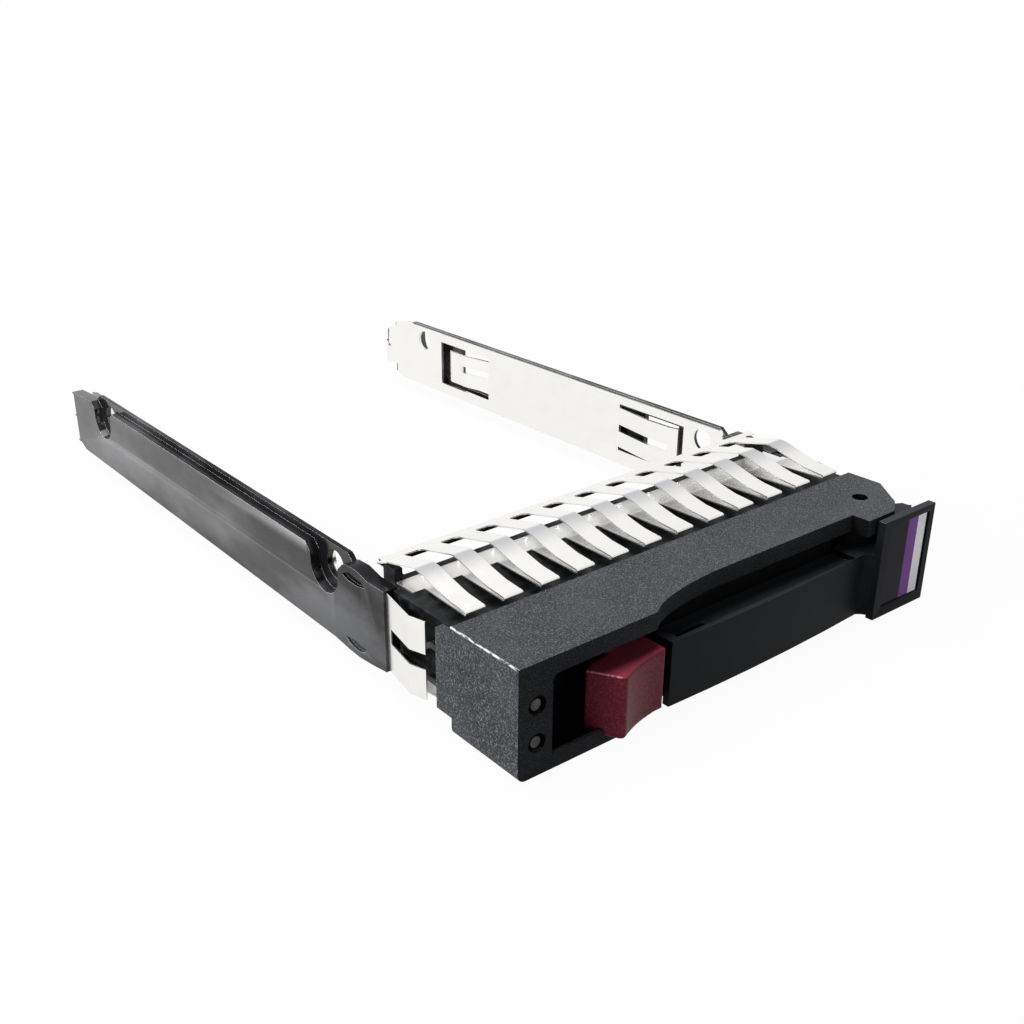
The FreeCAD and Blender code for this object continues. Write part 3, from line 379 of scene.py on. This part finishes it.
# %% Glossy rail plastic
RAIL_BLACK = (0.005, 0.005, 0.006, 1)
RAIL_PAINTED_REFLECTION = (0.045, 0.046, 0.050, 1)
RAIL_DUST = (0.20, 0.20, 0.21, 1)
RAIL_EDGE_HIGHLIGHT = (0.60, 0.60, 0.61, 1)
RAIL_CLOUD = 9.0
RAIL_WAVE = 7.0
RAIL_WAVE_DEEP = 0.20
DUST_GRAIN = 0.28
DUST = (0.70, 0.76)
FRONT_STRETCH = (33, 46)
REAR_STRETCH = (46, 125)
FOOT = (2.0, 7.0)
FOOT_SHINE = 0.45
SHINE = 0.16
LEAST_SHINE = 0.05
TOP_LOSS = -0.46


def rail_shine(tree, spots, haze, upward):
    """More mirror in the haze, towards the rear and above the foot, and hardly any on the top."""
    _, y, z = ruler(tree, spots)
    along = plus(tree, times(tree, ramp(tree, y, *FRONT_STRETCH), 0.20),
                 times(tree, ramp(tree, y, *REAR_STRETCH), 0.28))
    shine = plus(tree, times(tree, haze, 0.40), plus(tree, along, SHINE))
    above_foot = plus(tree, times(tree, ramp(tree, z, *FOOT), 1.0 - FOOT_SHINE), FOOT_SHINE)
    shine = plus(tree, times(tree, shine, above_foot), times(tree, upward, TOP_LOSS))
    return larger(tree, shine, LEAST_SHINE)


def rail_finish():
    material, tree, shader, spots = new_finish("rail_gloss")
    look = facing(tree)
    clouds = noise(tree, spots, RAIL_CLOUD, 5.0, (1, 2.6, 1))
    haze = ramp(tree, clouds, 0.38, 0.66)
    # Painted reflection: paler clouds in the colour.
    base = mixed(tree, haze, RAIL_BLACK, RAIL_PAINTED_REFLECTION)
    dust = ramp(tree, noise(tree, spots, DUST_GRAIN, 2.0), *DUST)
    base = mixed(tree, times(tree, dust, 0.2), base, RAIL_DUST)
    # Painted highlight: a bright line on the rounded upper edges.
    sideways = times(tree, look["X"], look["X"])
    edge_highlight = times(tree, ramp(tree, look["Z"], 0.12, 0.40), ramp(tree, sideways, 0.06, 0.20))
    base = mixed(tree, times(tree, edge_highlight, 0.8), base, RAIL_EDGE_HIGHLIGHT)
    tree.links.new(base, shader.inputs["Base Color"])
    tree.links.new(plus(tree, times(tree, clouds, 0.20), 0.07), shader.inputs["Roughness"])
    shine = rail_shine(tree, spots, haze, ramp(tree, look["Z"], 0.55, 0.9))
    tree.links.new(shine, shader.inputs["Specular IOR Level"])
    bump(tree, shader, noise(tree, spots, RAIL_WAVE, 2.0, (1, 2.2, 1)), RAIL_WAVE_DEEP)
    return material


finishes["left_rail"] = rail_finish()
finishes["right_rail"] = finishes["left_rail"]
print("finish", finishes["left_rail"].name, "on both rails")

# %% [markdown]
# The liners, combs and side springs are stainless sheet. The rolling direction shows as faint long streaks
# in the gloss. The combs' upper fingers get a painted shade in blue grey on the bow just in front of their
# crease, and a smooth step along Y on the piece's own coordinates draws that.

# %% Stainless sheet
STREAK = 0.30
STREAK_DEEP = 0.0008
CREASE = {"start": 18.8, "middle": 23.1, "end": 23.7, "shade_tint": (0.50, 0.50, 0.515, 1)}


def sheet_steel(name, colour, shade, roughness, stretch, crease=None, metal=1.0):
    """Cloudy bright metal with long streaks, and where given a painted shade before a crease."""
    material, tree, shader, spots = new_finish(name)
    streaks = noise(tree, spots, STREAK, 3.0, stretch)
    clouds = noise(tree, spots, 4.0, 3.0)
    base = mixed(tree, times(tree, ramp(tree, clouds, 0.40, 0.80), 0.45), colour, shade)
    if crease:
        along = ruler(tree, spots)[1]
        # Painted shade on the bow in front of the crease.
        painted_bow_shade = times(tree, ramp(tree, along, crease["start"], crease["middle"]),
                       ramp(tree, along, crease["end"], crease["middle"]))
        base = mixed(tree, painted_bow_shade, base, crease["shade_tint"])
    tree.links.new(base, shader.inputs["Base Color"])
    shader.inputs["Metallic"].default_value = metal
    tree.links.new(plus(tree, times(tree, streaks, 0.12), roughness - 0.06), shader.inputs["Roughness"])
    bump(tree, shader, streaks, STREAK_DEEP)
    return material


finishes["liner"] = sheet_steel("liner_steel", (0.90, 0.89, 0.865, 1), (0.84, 0.83, 0.805, 1),
                                roughness=0.30, stretch=(1, 30, 1))
finishes["comb"] = sheet_steel("comb_steel", (0.81, 0.80, 0.78, 1), (0.76, 0.755, 0.74, 1),
                               roughness=0.24, stretch=(1, 20, 1), crease=CREASE, metal=0.84)
finishes["side_spring"] = sheet_steel("side_spring_steel", (0.88, 0.87, 0.84, 1), (0.80, 0.79, 0.77, 1),
                                      roughness=0.3, stretch=(1, 20, 1))
finishes["pin"] = sheet_steel("pin_steel", (0.40, 0.40, 0.42, 1), (0.30, 0.30, 0.31, 1),
                              roughness=0.35, stretch=(8, 8, 1))
finishes["wire"] = sheet_steel("spring_wire", (0.10, 0.10, 0.11, 1), (0.07, 0.07, 0.07, 1),
                               roughness=0.40, stretch=(1, 1, 1))
print("finishes", sorted(finishes))

# %% [markdown]
# The light pipes are clear acrylic. They look dark grey in their holes, because they carry what little
# light falls in at the far end. Real acrylic would need many bounces of light to show the same, so a dark
# cloudy plastic with a smooth face stands in for it.

# %% Clear plastic


def clear_finish():
    material, tree, shader, spots = new_finish("light_pipe_clear")
    haze = ramp(tree, noise(tree, spots, 1.6, 2.0), 0.35, 0.65)
    base = mixed(tree, haze, (0.012, 0.014, 0.013, 1), (0.075, 0.080, 0.070, 1))
    tree.links.new(base, shader.inputs["Base Color"])
    shader.inputs["Specular IOR Level"].default_value = 0.25
    shader.inputs["Roughness"].default_value = 0.18
    shader.inputs["IOR"].default_value = 1.49
    return material


finishes["light_pipe"] = clear_finish()
print("finish", finishes["light_pipe"].name)

# %% [markdown]
# The tab's label is printed film with fields of colour: a dark ground, a violet band and a white band at the
# right, before a narrow dark margin. Each band starts at a share of the label's width, so steps along X draw
# them, and they stay sharp at any distance.

# %% The printed label
label_low, label_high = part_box("tab_label")
BANDS = (("violet", 0.487, (0.225, 0.075, 0.340, 1)), ("white", 0.742, (0.97, 0.95, 0.99, 1)),
         ("margin", 0.965, (0.012, 0.011, 0.015, 1)))


def label_finish():
    material, tree, shader, spots = new_finish("label_print")
    across = node(tree, "ShaderNodeSeparateXYZ", Vector=spots).outputs["X"]
    share = reckon(tree, "DIVIDE", minus(tree, across, label_low.x), label_high.x - label_low.x)
    speck = noise(tree, spots, 0.30, 2.0)
    base = mixed(tree, times(tree, speck, 0.5), (0.010, 0.009, 0.013, 1), (0.016, 0.015, 0.020, 1))
    for _, start, colour in BANDS:
        base = mixed(tree, reckon(tree, "GREATER_THAN", share, start), base, colour)
    tree.links.new(base, shader.inputs["Base Color"])
    tree.links.new(plus(tree, times(tree, speck, 0.1), 0.33), shader.inputs["Roughness"])
    shader.inputs["Specular IOR Level"].default_value = 0.04
    return material


finishes["tab_label"] = label_finish()
print("label bands", [band[0] for band in BANDS])

# %% [markdown]
# A moulding has no knife edges. The construction model's meshes are loose triangles, so each moulded piece
# is first copied as one clean shell with flat regions as single faces. A modifier can then find its edges.
# A finished copy stands for its node: it keeps the node's place, body and size.

# %% Clean copies of the moulded pieces


def clean_copy(name):
    """A piece made from the node's mesh, merged into one shell and shaded smooth."""
    shell = bmesh.new()
    shell.from_mesh(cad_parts[name].data)
    bmesh.ops.remove_doubles(shell, verts=shell.verts, dist=0.002 * MM)
    bmesh.ops.dissolve_limit(shell, angle_limit=math.radians(0.6), verts=shell.verts, edges=shell.edges)
    mesh = bpy.data.meshes.new(name + "_shell")
    shell.to_mesh(mesh)
    shell.free()
    for face in mesh.polygons:
        face.use_smooth = True
    piece = bpy.data.objects.new(name + "_moulding", mesh)
    bpy.context.scene.collection.objects.link(piece)
    return piece


def plain(piece):
    """Works the piece's modifiers into a plain mesh."""
    mesh = bpy.data.meshes.new_from_object(piece.evaluated_get(bpy.context.evaluated_depsgraph_get()))
    mesh.name = piece.name
    piece.modifiers.clear()
    piece.data = mesh


def dress(piece, material, body, name):
    """Gives the piece its finish and its body, and lets it stand for a node."""
    piece.data.materials.clear()
    piece.data.materials.append(material)
    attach(piece, body)
    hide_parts(name)


pieces = {name: clean_copy(name)
          for name in ("bezel", "inner_frame", "left_rail", "right_rail", "lever", "release_latch")}
print("copied", {name: len(piece.data.polygons) for name, piece in pieces.items()})

# %% [markdown]
# The mouth of the pivot hole is narrower than the pin under it. Its rim is drawn in towards the pivot, and
# the wall below it follows, which is enough for a hole that one only looks down into.

# %% The mouth of the pivot hole
MOUTH = 1.05
RIM_OVER_PIN = 1.0


def narrow_mouth(mesh):
    """Moves the rim's corners onto a smaller circle, and says how many they are."""
    middle = (pin_low + pin_high) / 2
    moved = 0
    for vertex in mesh.vertices:
        off = (vertex.co - middle).xy
        if vertex.co.z > pin_high.z + RIM_OVER_PIN * MM and off.length < HOLE * MM:
            vertex.co.xy = middle.xy + off.normalized() * MOUTH * MM
            moved += 1
    return moved


print("the pivot hole's rim has", narrow_mouth(pieces["bezel"].data), "corners")

# %% [markdown]
# A narrow bevel rounds the moulded edges, so that they catch a line of light. Where a bevel runs out of
# room it leaves pairs of faces that lie on each other, and those are taken out again.

# %% Rounded edges
SHARP = math.radians(28)


def round_edges(piece, radius):
    """Rounds the piece's sharp edges by a radius in millimetres."""
    piece.data.set_sharp_from_angle(angle=SHARP)
    bevel = piece.modifiers.new("Edges", "BEVEL")
    bevel.width = radius * MM
    bevel.segments = 2
    bevel.limit_method = "ANGLE"
    bevel.angle_limit = SHARP
    bevel.miter_outer = "MITER_ARC"
    bevel.use_clamp_overlap = True
    bevel.harden_normals = True
    plain(piece)


def drop_flaps(mesh):
    """Takes out pairs of coincident faces."""
    shell = bmesh.new()
    shell.from_mesh(mesh)
    bmesh.ops.remove_doubles(shell, verts=shell.verts, dist=0.001 * MM)
    alike = {}
    for face in shell.faces:
        alike.setdefault(frozenset(face.verts), []).append(face)
    flaps = [face for same in alike.values() if len(same) > 1 for face in same]
    bmesh.ops.delete(shell, geom=flaps, context="FACES")
    shell.to_mesh(mesh)
    shell.free()


MOULDINGS = (
    ("bezel", "carrier", "bezel_plastic", 0.22),
    ("inner_frame", "carrier", "frame_plastic", 0.12),
    ("left_rail", "carrier", "rail_plastic", 0.26),
    ("right_rail", "carrier", "rail_plastic", 0.22),
    ("lever", "lever", "lever_plastic", 0.28),
)
for name, body, slot, radius in MOULDINGS:
    round_edges(pieces[name], radius)
    drop_flaps(pieces[name].data)
    dress(pieces[name], finishes[name], body, name)
    print(name, "has", len(pieces[name].data.polygons), "faces")

# %% [markdown]
# Thumbs have worn the latch, and its edges turn over more softly than a bevel of one width can draw. It is
# rebuilt from small cells instead, and smoothed again and again until the edges have given way.

# %% The worn latch
CELL = 0.16
WEAR_ROUNDS = 32


def wear(piece):
    cells = piece.modifiers.new("Cells", "REMESH")
    cells.mode = "VOXEL"
    cells.voxel_size = CELL * MM
    cells.use_smooth_shade = True
    worn = piece.modifiers.new("Worn", "SMOOTH")
    worn.factor = 0.5
    worn.iterations = WEAR_ROUNDS
    plain(piece)


wear(pieces["release_latch"])
dress(pieces["release_latch"], finishes["release_latch"], "latch", "release_latch")
print("the latch has", len(pieces["release_latch"].data.polygons), "faces")

# %% [markdown]
# Each comb is one finger, repeated twelve times, and two strips that hold the fingers together. The finger
# is drawn once, as the path of its sheet from the strip on the frame, up to the folded nose, back along the
# bow and over the crease. Its lower leaf leans a little to the right on its way back, and a shallow groove
# runs behind the nose. The lower comb is the same path turned over.

# %% Sizes of a spring finger
GAUGE = 0.2
FINGER_WIDE = 3.0
FINGER_FIRST = 4.4
FINGER_NOSE = 13.1
NOSE_SHARE = 0.37
FOLD = 0.62
LEAF_LEAN = (1.85, 2.1)
GROOVE = (0.30, 0.45, 0.60)
GROOVE_DEEP = 0.05
FLAT_LONG = 2.8
FLAT_RISE = 0.05
SAG = 0.20
SHOULDER_BACK = 1.8
SHOULDER_DROP = 0.06
CREST_Y = 23.6
CREASE_SHARES = (0.15, 0.04)
ROOT_ROUND = 0.8
STRIP_FRONT = 23.9
STRIP_BACK = 27.55
REAR_STRIP = 1.2
OVERLAP = 0.4
UPPER_COMB = {"deck": 14.06, "crest": 17.95, "hem": 15.95, "tail": 31.6}
LOWER_COMB = {"deck": 2.57, "crest": 0.35, "hem": 2.57, "tail": 29.3}
print("upper fingers rise", round(UPPER_COMB["crest"] - UPPER_COMB["deck"], 2), "mm over the deck")

# %% [markdown]
# The path is a list of rows. Each row holds a place on the middle of the sheet, as Y and Z, and how far the
# finger reaches to the left and right there. Bends come from one rule that leans towards a corner, the nose
# is half a circle, and the root flares out into the rear strip by a quarter of a circle.

# %% The path of a finger
FOLD_STEPS = 8
BOW_STEPS = 10
CREASE_STEPS = 6
ROOT_STEPS = 6


def bent(start, corner, end, steps):
    """A smooth bend from start to end that leans towards the corner."""
    shares = [step / steps for step in range(steps + 1)]
    return [start * (1 - t) ** 2 + corner * 2 * t * (1 - t) + end * t ** 2 for t in shares]


def finger_path(deck, crest, hem, tail):
    """Rows of the sheet's middle, with its left and right edge, from the strip to the rear strip."""
    up = 1 if crest > deck else -1
    rise = crest - deck
    half = up * GAUGE / 2
    left, right = -FINGER_WIDE / 2, FINGER_WIDE / 2
    leaf = (left + LEAF_LEAN[0], right + LEAF_LEAN[1])
    nose = deck + NOSE_SHARE * rise + half
    front = FINGER_NOSE + FOLD / 2
    turn = FOLD / 2 - GAUGE / 2
    fold_middle = nose + up * turn
    flat = Vector((front + FLAT_LONG, fold_middle + up * turn + FLAT_RISE * rise))
    shoulder = Vector((CREST_Y - SHOULDER_BACK, crest - SHOULDER_DROP * rise - half))
    crease = Vector((CREST_Y, crest - half))
    strip = tail - REAR_STRIP
    root = Vector((strip, hem + half))
    rows = [(Vector((STRIP_FRONT + OVERLAP, deck + half)), *leaf),
            (Vector((STRIP_FRONT, deck + half)), *leaf), (Vector((front, nose)), left, right)]
    for step in range(1, FOLD_STEPS + 1):
        angle = math.pi * step / FOLD_STEPS
        spot = Vector((front - turn * math.sin(angle), fold_middle - up * turn * math.cos(angle)))
        rows.append((spot, left, right))
    start = rows[-1][0]
    for back, dip in zip(GROOVE, (0, GROOVE_DEEP, 0)):
        rows.append((start.lerp(flat, back / (flat.x - front)) - Vector((0, up * dip)), left, right))
    low_middle = (flat + shoulder) / 2 - Vector((0, up * SAG))
    rows += [(spot, left, right) for spot in bent(flat, low_middle, shoulder, BOW_STEPS)]
    before = crease.lerp(shoulder, CREASE_SHARES[0])
    after = crease.lerp(root, CREASE_SHARES[1])
    rows += [(spot, left, right) for spot in bent(before, crease, after, CREASE_STEPS)]
    for step in range(ROOT_STEPS + 1):
        back = ROOT_ROUND * math.sin(math.pi / 2 * step / ROOT_STEPS)
        spot = crease.lerp(root, (strip - ROOT_ROUND + back - CREST_Y) / (strip - CREST_Y))
        flare = ROOT_ROUND - math.sqrt(ROOT_ROUND ** 2 - back ** 2)
        rows.append((spot, left - flare, right + flare))
    rows.append((root + Vector((OVERLAP, 0)), left - ROOT_ROUND, right + ROOT_ROUND))
    return rows


print("a finger has", len(finger_path(**UPPER_COMB)), "rows")

# %% [markdown]
# Along the rows goes a closed ribbon: four corners at each row, half a gauge to either side of the middle,
# and a face between each two neighbours. It is a hair thinner than the sheet, so that it never stands out
# of the real comb's height.

# %% The mesh of a finger
HAIR = 0.005
FOLD_SHARP = math.radians(40)


def ribbon_corners(rows):
    corners = []
    for spot, (middle, left, right) in enumerate(rows):
        ahead = rows[min(spot + 1, len(rows) - 1)][0]
        behind = rows[max(spot - 1, 0)][0]
        along = (ahead - behind).normalized()
        across = Vector((-along.y, along.x)) * (GAUGE / 2 - HAIR)
        for side, skin in ((left, -1), (right, -1), (right, 1), (left, 1)):
            y, z = middle + across * skin
            corners.append(place(FINGER_FIRST + side, y, z))
    return corners


def finger_mesh(name, rows):
    """A closed ribbon of sheet along the rows, square at its long edges."""
    corners = ribbon_corners(rows)
    faces = [(3, 2, 1, 0), tuple(range(len(corners) - 4, len(corners)))]
    for start in range(0, len(corners) - 4, 4):
        for corner in range(4):
            beside = (corner + 1) % 4
            faces.append((start + corner, start + beside, start + 4 + beside, start + 4 + corner))
    mesh = bpy.data.meshes.new(name)
    mesh.from_pydata(corners, [], faces)
    shell = bmesh.new()
    shell.from_mesh(mesh)
    bmesh.ops.recalc_face_normals(shell, faces=shell.faces)
    shell.to_mesh(mesh)
    shell.free()
    for face in mesh.polygons:
        face.use_smooth = True
    mesh.set_sharp_from_angle(angle=FOLD_SHARP)
    return mesh


fingers = {"top_comb": finger_mesh("top_comb_finger", finger_path(**UPPER_COMB)),
           "bottom_comb": finger_mesh("bottom_comb_finger", finger_path(**LOWER_COMB))}
print("faces of a finger", {name: len(mesh.polygons) for name, mesh in fingers.items()})

# %% [markdown]
# A node tree repeats the finger along a line and adds the two strips as flat blocks. Its sizes are named
# inputs, so the comb can get more fingers or a wider pitch without a change to the tree.

# %% The comb as a node tree
COMB_INPUTS = (("Finger", "Geometry"), ("Count", "Int"), ("Pitch", "Float"),
               ("Front Strip Size", "Vector"), ("Front Strip Middle", "Vector"),
               ("Rear Strip Size", "Vector"), ("Rear Strip Middle", "Vector"), ("Sheet", "Material"))


def comb_tree():
    """The tree, and the identifier of each of its named inputs."""
    tree = bpy.data.node_groups.new("Comb", "GeometryNodeTree")
    sockets = {}
    for label, kind in COMB_INPUTS:
        socket = tree.interface.new_socket(label, in_out="INPUT", socket_type="NodeSocket" + kind)
        sockets[label] = socket.identifier
    tree.interface.new_socket("Comb", in_out="OUTPUT", socket_type="NodeSocketGeometry")
    given = tree.nodes.new("NodeGroupInput").outputs
    step = node(tree, "ShaderNodeCombineXYZ", X=given["Pitch"]).outputs[0]
    line = node(tree, "GeometryNodeMeshLine", {"mode": "OFFSET"}, Count=given["Count"], Offset=step)
    row = node(tree, "GeometryNodeInstanceOnPoints", Points=line.outputs[0], Instance=given["Finger"])
    joined = tree.nodes.new("GeometryNodeJoinGeometry")
    for strip in ("Front", "Rear"):
        block = node(tree, "GeometryNodeMeshCube", Size=given[strip + " Strip Size"])
        moved = node(tree, "GeometryNodeTransform", Geometry=block.outputs[0],
                     Translation=given[strip + " Strip Middle"])
        tree.links.new(moved.outputs[0], joined.inputs[0])
    tree.links.new(row.outputs[0], joined.inputs[0])
    real = node(tree, "GeometryNodeRealizeInstances", Geometry=joined.outputs[0])
    covered = node(tree, "GeometryNodeSetMaterial", Geometry=real.outputs[0], Material=given["Sheet"])
    result = tree.nodes.new("NodeGroupOutput")
    tree.links.new(covered.outputs[0], result.inputs[0])
    return tree, sockets


comb_nodes, comb_sockets = comb_tree()
print("the comb's tree has", len(comb_nodes.nodes), "nodes and", len(comb_sockets), "inputs")

# %% [markdown]
# Both combs use the tree. The finger's object carries it as a modifier, each input is set by its socket's
# identifier, and the result is made a plain mesh before it stands for its node.

# %% The two combs
PITCH = 5.95
COUNT = 12
COMB_LEFT = 2.9
COMB_RIGHT = 72.9


def strip_block(left, right, front, back, low):
    """Size and middle of a strip of the sheet, in metres."""
    size = Vector((right - left, back - front, GAUGE)) * MM
    return size, place((left + right) / 2, (front + back) / 2, low + GAUGE / 2)


def make_comb(name, sizes, rear_right):
    low = 0 if sizes["crest"] > sizes["deck"] else -GAUGE
    front = strip_block(COMB_LEFT, COMB_RIGHT, STRIP_FRONT, STRIP_BACK, sizes["deck"] + low)
    rear = strip_block(COMB_LEFT, rear_right, sizes["tail"] - REAR_STRIP, sizes["tail"], sizes["hem"] + low)
    given = {"Count": COUNT, "Pitch": PITCH * MM, "Front Strip Size": front[0],
             "Front Strip Middle": front[1], "Rear Strip Size": rear[0], "Rear Strip Middle": rear[1],
             "Sheet": finishes["comb"]}
    piece = bpy.data.objects.new(name + "_sheet", fingers[name])
    bpy.context.scene.collection.objects.link(piece)
    repeat = piece.modifiers.new("Comb", "NODES")
    repeat.node_group = comb_nodes
    for label, value in given.items():
        repeat[comb_sockets[label]] = value
    plain(piece)
    dress(piece, finishes["comb"], "carrier", name)
    return piece


for name, sizes in (("top_comb", UPPER_COMB), ("bottom_comb", LOWER_COMB)):
    low, high = [(corner.x - CORNER.x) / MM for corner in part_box(name)]
    made = make_comb(name, sizes, high)
    print(name, "from x", round(low, 2), "to", round(high, 2), "has", len(made.data.polygons), "faces")

# %% [markdown]
# The other nodes are flat sheet, film, pins and coils. They have the right shape already and only take
# their finish.

# %% Finishes of the plain nodes
PLAIN = (
    ("left_rail_liner", "liner"), ("right_rail_liner", "liner"),
    ("left_side_spring", "side_spring"), ("right_side_spring", "side_spring"),
    ("tab_label", "tab_label"), ("upper_light_pipe", "light_pipe"), ("lower_light_pipe", "light_pipe"),
    ("lever_pivot_pin", "pin"), ("lever_spring", "wire"), ("latch_spring", "wire"),
)
for name, finish in PLAIN:
    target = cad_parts[name]
    target.data.materials.clear()
    target.data.materials.append(finishes[finish])
print(len(PLAIN), "plain nodes dressed")

# %% [markdown]
# The picture was taken on white. The floor and the world show white to the camera and to reflections, but
# add little light to the piece, so that black plastic stays black. Near the object the floor keeps a share
# of its own shading, which is where the shadow falls.

# %% Floor and world
FLOOR_SIZE = 30.0
FLOOR_GAP = 0.05
FLOOR_GREY = (0.55, 0.55, 0.55, 1)
SHADOW_FADE = (0.12, 0.30)
NEAR_SHARE = 0.96
WORLD_LEVEL = 0.07
WHITE = (1, 1, 1, 1)


def seen_rays(tree):
    """1 for the camera's own rays and for mirrored and transmitted ones, which all see the backdrop."""
    path = node(tree, "ShaderNodeLightPath").outputs
    return larger(tree, larger(tree, path["Is Camera Ray"], path["Is Glossy Ray"]),
                  path["Is Transmission Ray"])


def glow_share(tree):
    """How far the floor shows plain white: mostly near the object, wholly away from it."""
    spots = node(tree, "ShaderNodeTexCoord").outputs["Object"]
    far_off = node(tree, "ShaderNodeVectorMath", {"operation": "LENGTH"}, Vector=spots).outputs["Value"]
    fade = times(tree, ramp(tree, far_off, *SHADOW_FADE), 1.0 - NEAR_SHARE)
    return times(tree, seen_rays(tree), plus(tree, fade, NEAR_SHARE))


def make_floor():
    bpy.ops.mesh.primitive_plane_add(size=FLOOR_SIZE, location=(0, 0, bezel_low.z - FLOOR_GAP * MM))
    floor = bpy.context.object
    floor.name = "floor"
    material = bpy.data.materials.new("pale_floor")
    material.use_nodes = True
    tree = material.node_tree
    shader = tree.nodes["Principled BSDF"]
    shader.inputs["Base Color"].default_value = FLOOR_GREY
    shader.inputs["Roughness"].default_value = 0.9
    glow = node(tree, "ShaderNodeEmission", Color=WHITE, Strength=1.0)
    blend = node(tree, "ShaderNodeMixShader", Fac=glow_share(tree))
    tree.links.new(shader.outputs[0], blend.inputs[1])
    tree.links.new(glow.outputs[0], blend.inputs[2])
    tree.links.new(blend.outputs[0], tree.nodes["Material Output"].inputs["Surface"])
    floor.data.materials.append(material)


def make_world():
    world = bpy.data.worlds.new("studio")
    bpy.context.scene.world = world
    world.use_nodes = True
    tree = world.node_tree
    strength = plus(tree, times(tree, seen_rays(tree), 1.0 - WORLD_LEVEL), WORLD_LEVEL)
    ground = tree.nodes["Background"]
    ground.inputs["Color"].default_value = WHITE
    tree.links.new(strength, ground.inputs["Strength"])


make_floor()
make_world()
print("floor and world are white to the eye")

# %% [markdown]
# The light is soft and comes from the upper left. A large lamp above and one at the left do most of the
# work, and a weak one in front opens the shadows.

# %% Lamps
LAMPS = (
    ("top_lamp", (-0.05, 0.15, 0.60), (0.50, 0.50), 4.5),
    ("left_lamp", (-0.60, 0.10, 0.30), (0.35, 0.35), 5.2),
    ("front_lamp", (0.10, -0.70, 0.30), (0.40, 0.25), 0.45),
)


def make_lamp(name, spot, size, power):
    """A soft box that looks at the middle of the object."""
    data = bpy.data.lights.new(name, "AREA")
    data.shape = "RECTANGLE"
    data.size, data.size_y = size
    data.energy = power
    lamp = bpy.data.objects.new(name, data)
    lamp.location = spot
    lamp.rotation_euler = (-Vector(spot)).to_track_quat("-Z", "Y").to_euler()
    bpy.context.scene.collection.objects.link(lamp)


for lamp in LAMPS:
    make_lamp(*lamp)
print(len(LAMPS), "lamps")

# %% [markdown]
# The view transform is the plain one, so that a written colour renders as it is written.

# %% View and finish
bpy.context.scene.view_settings.view_transform = "Standard"
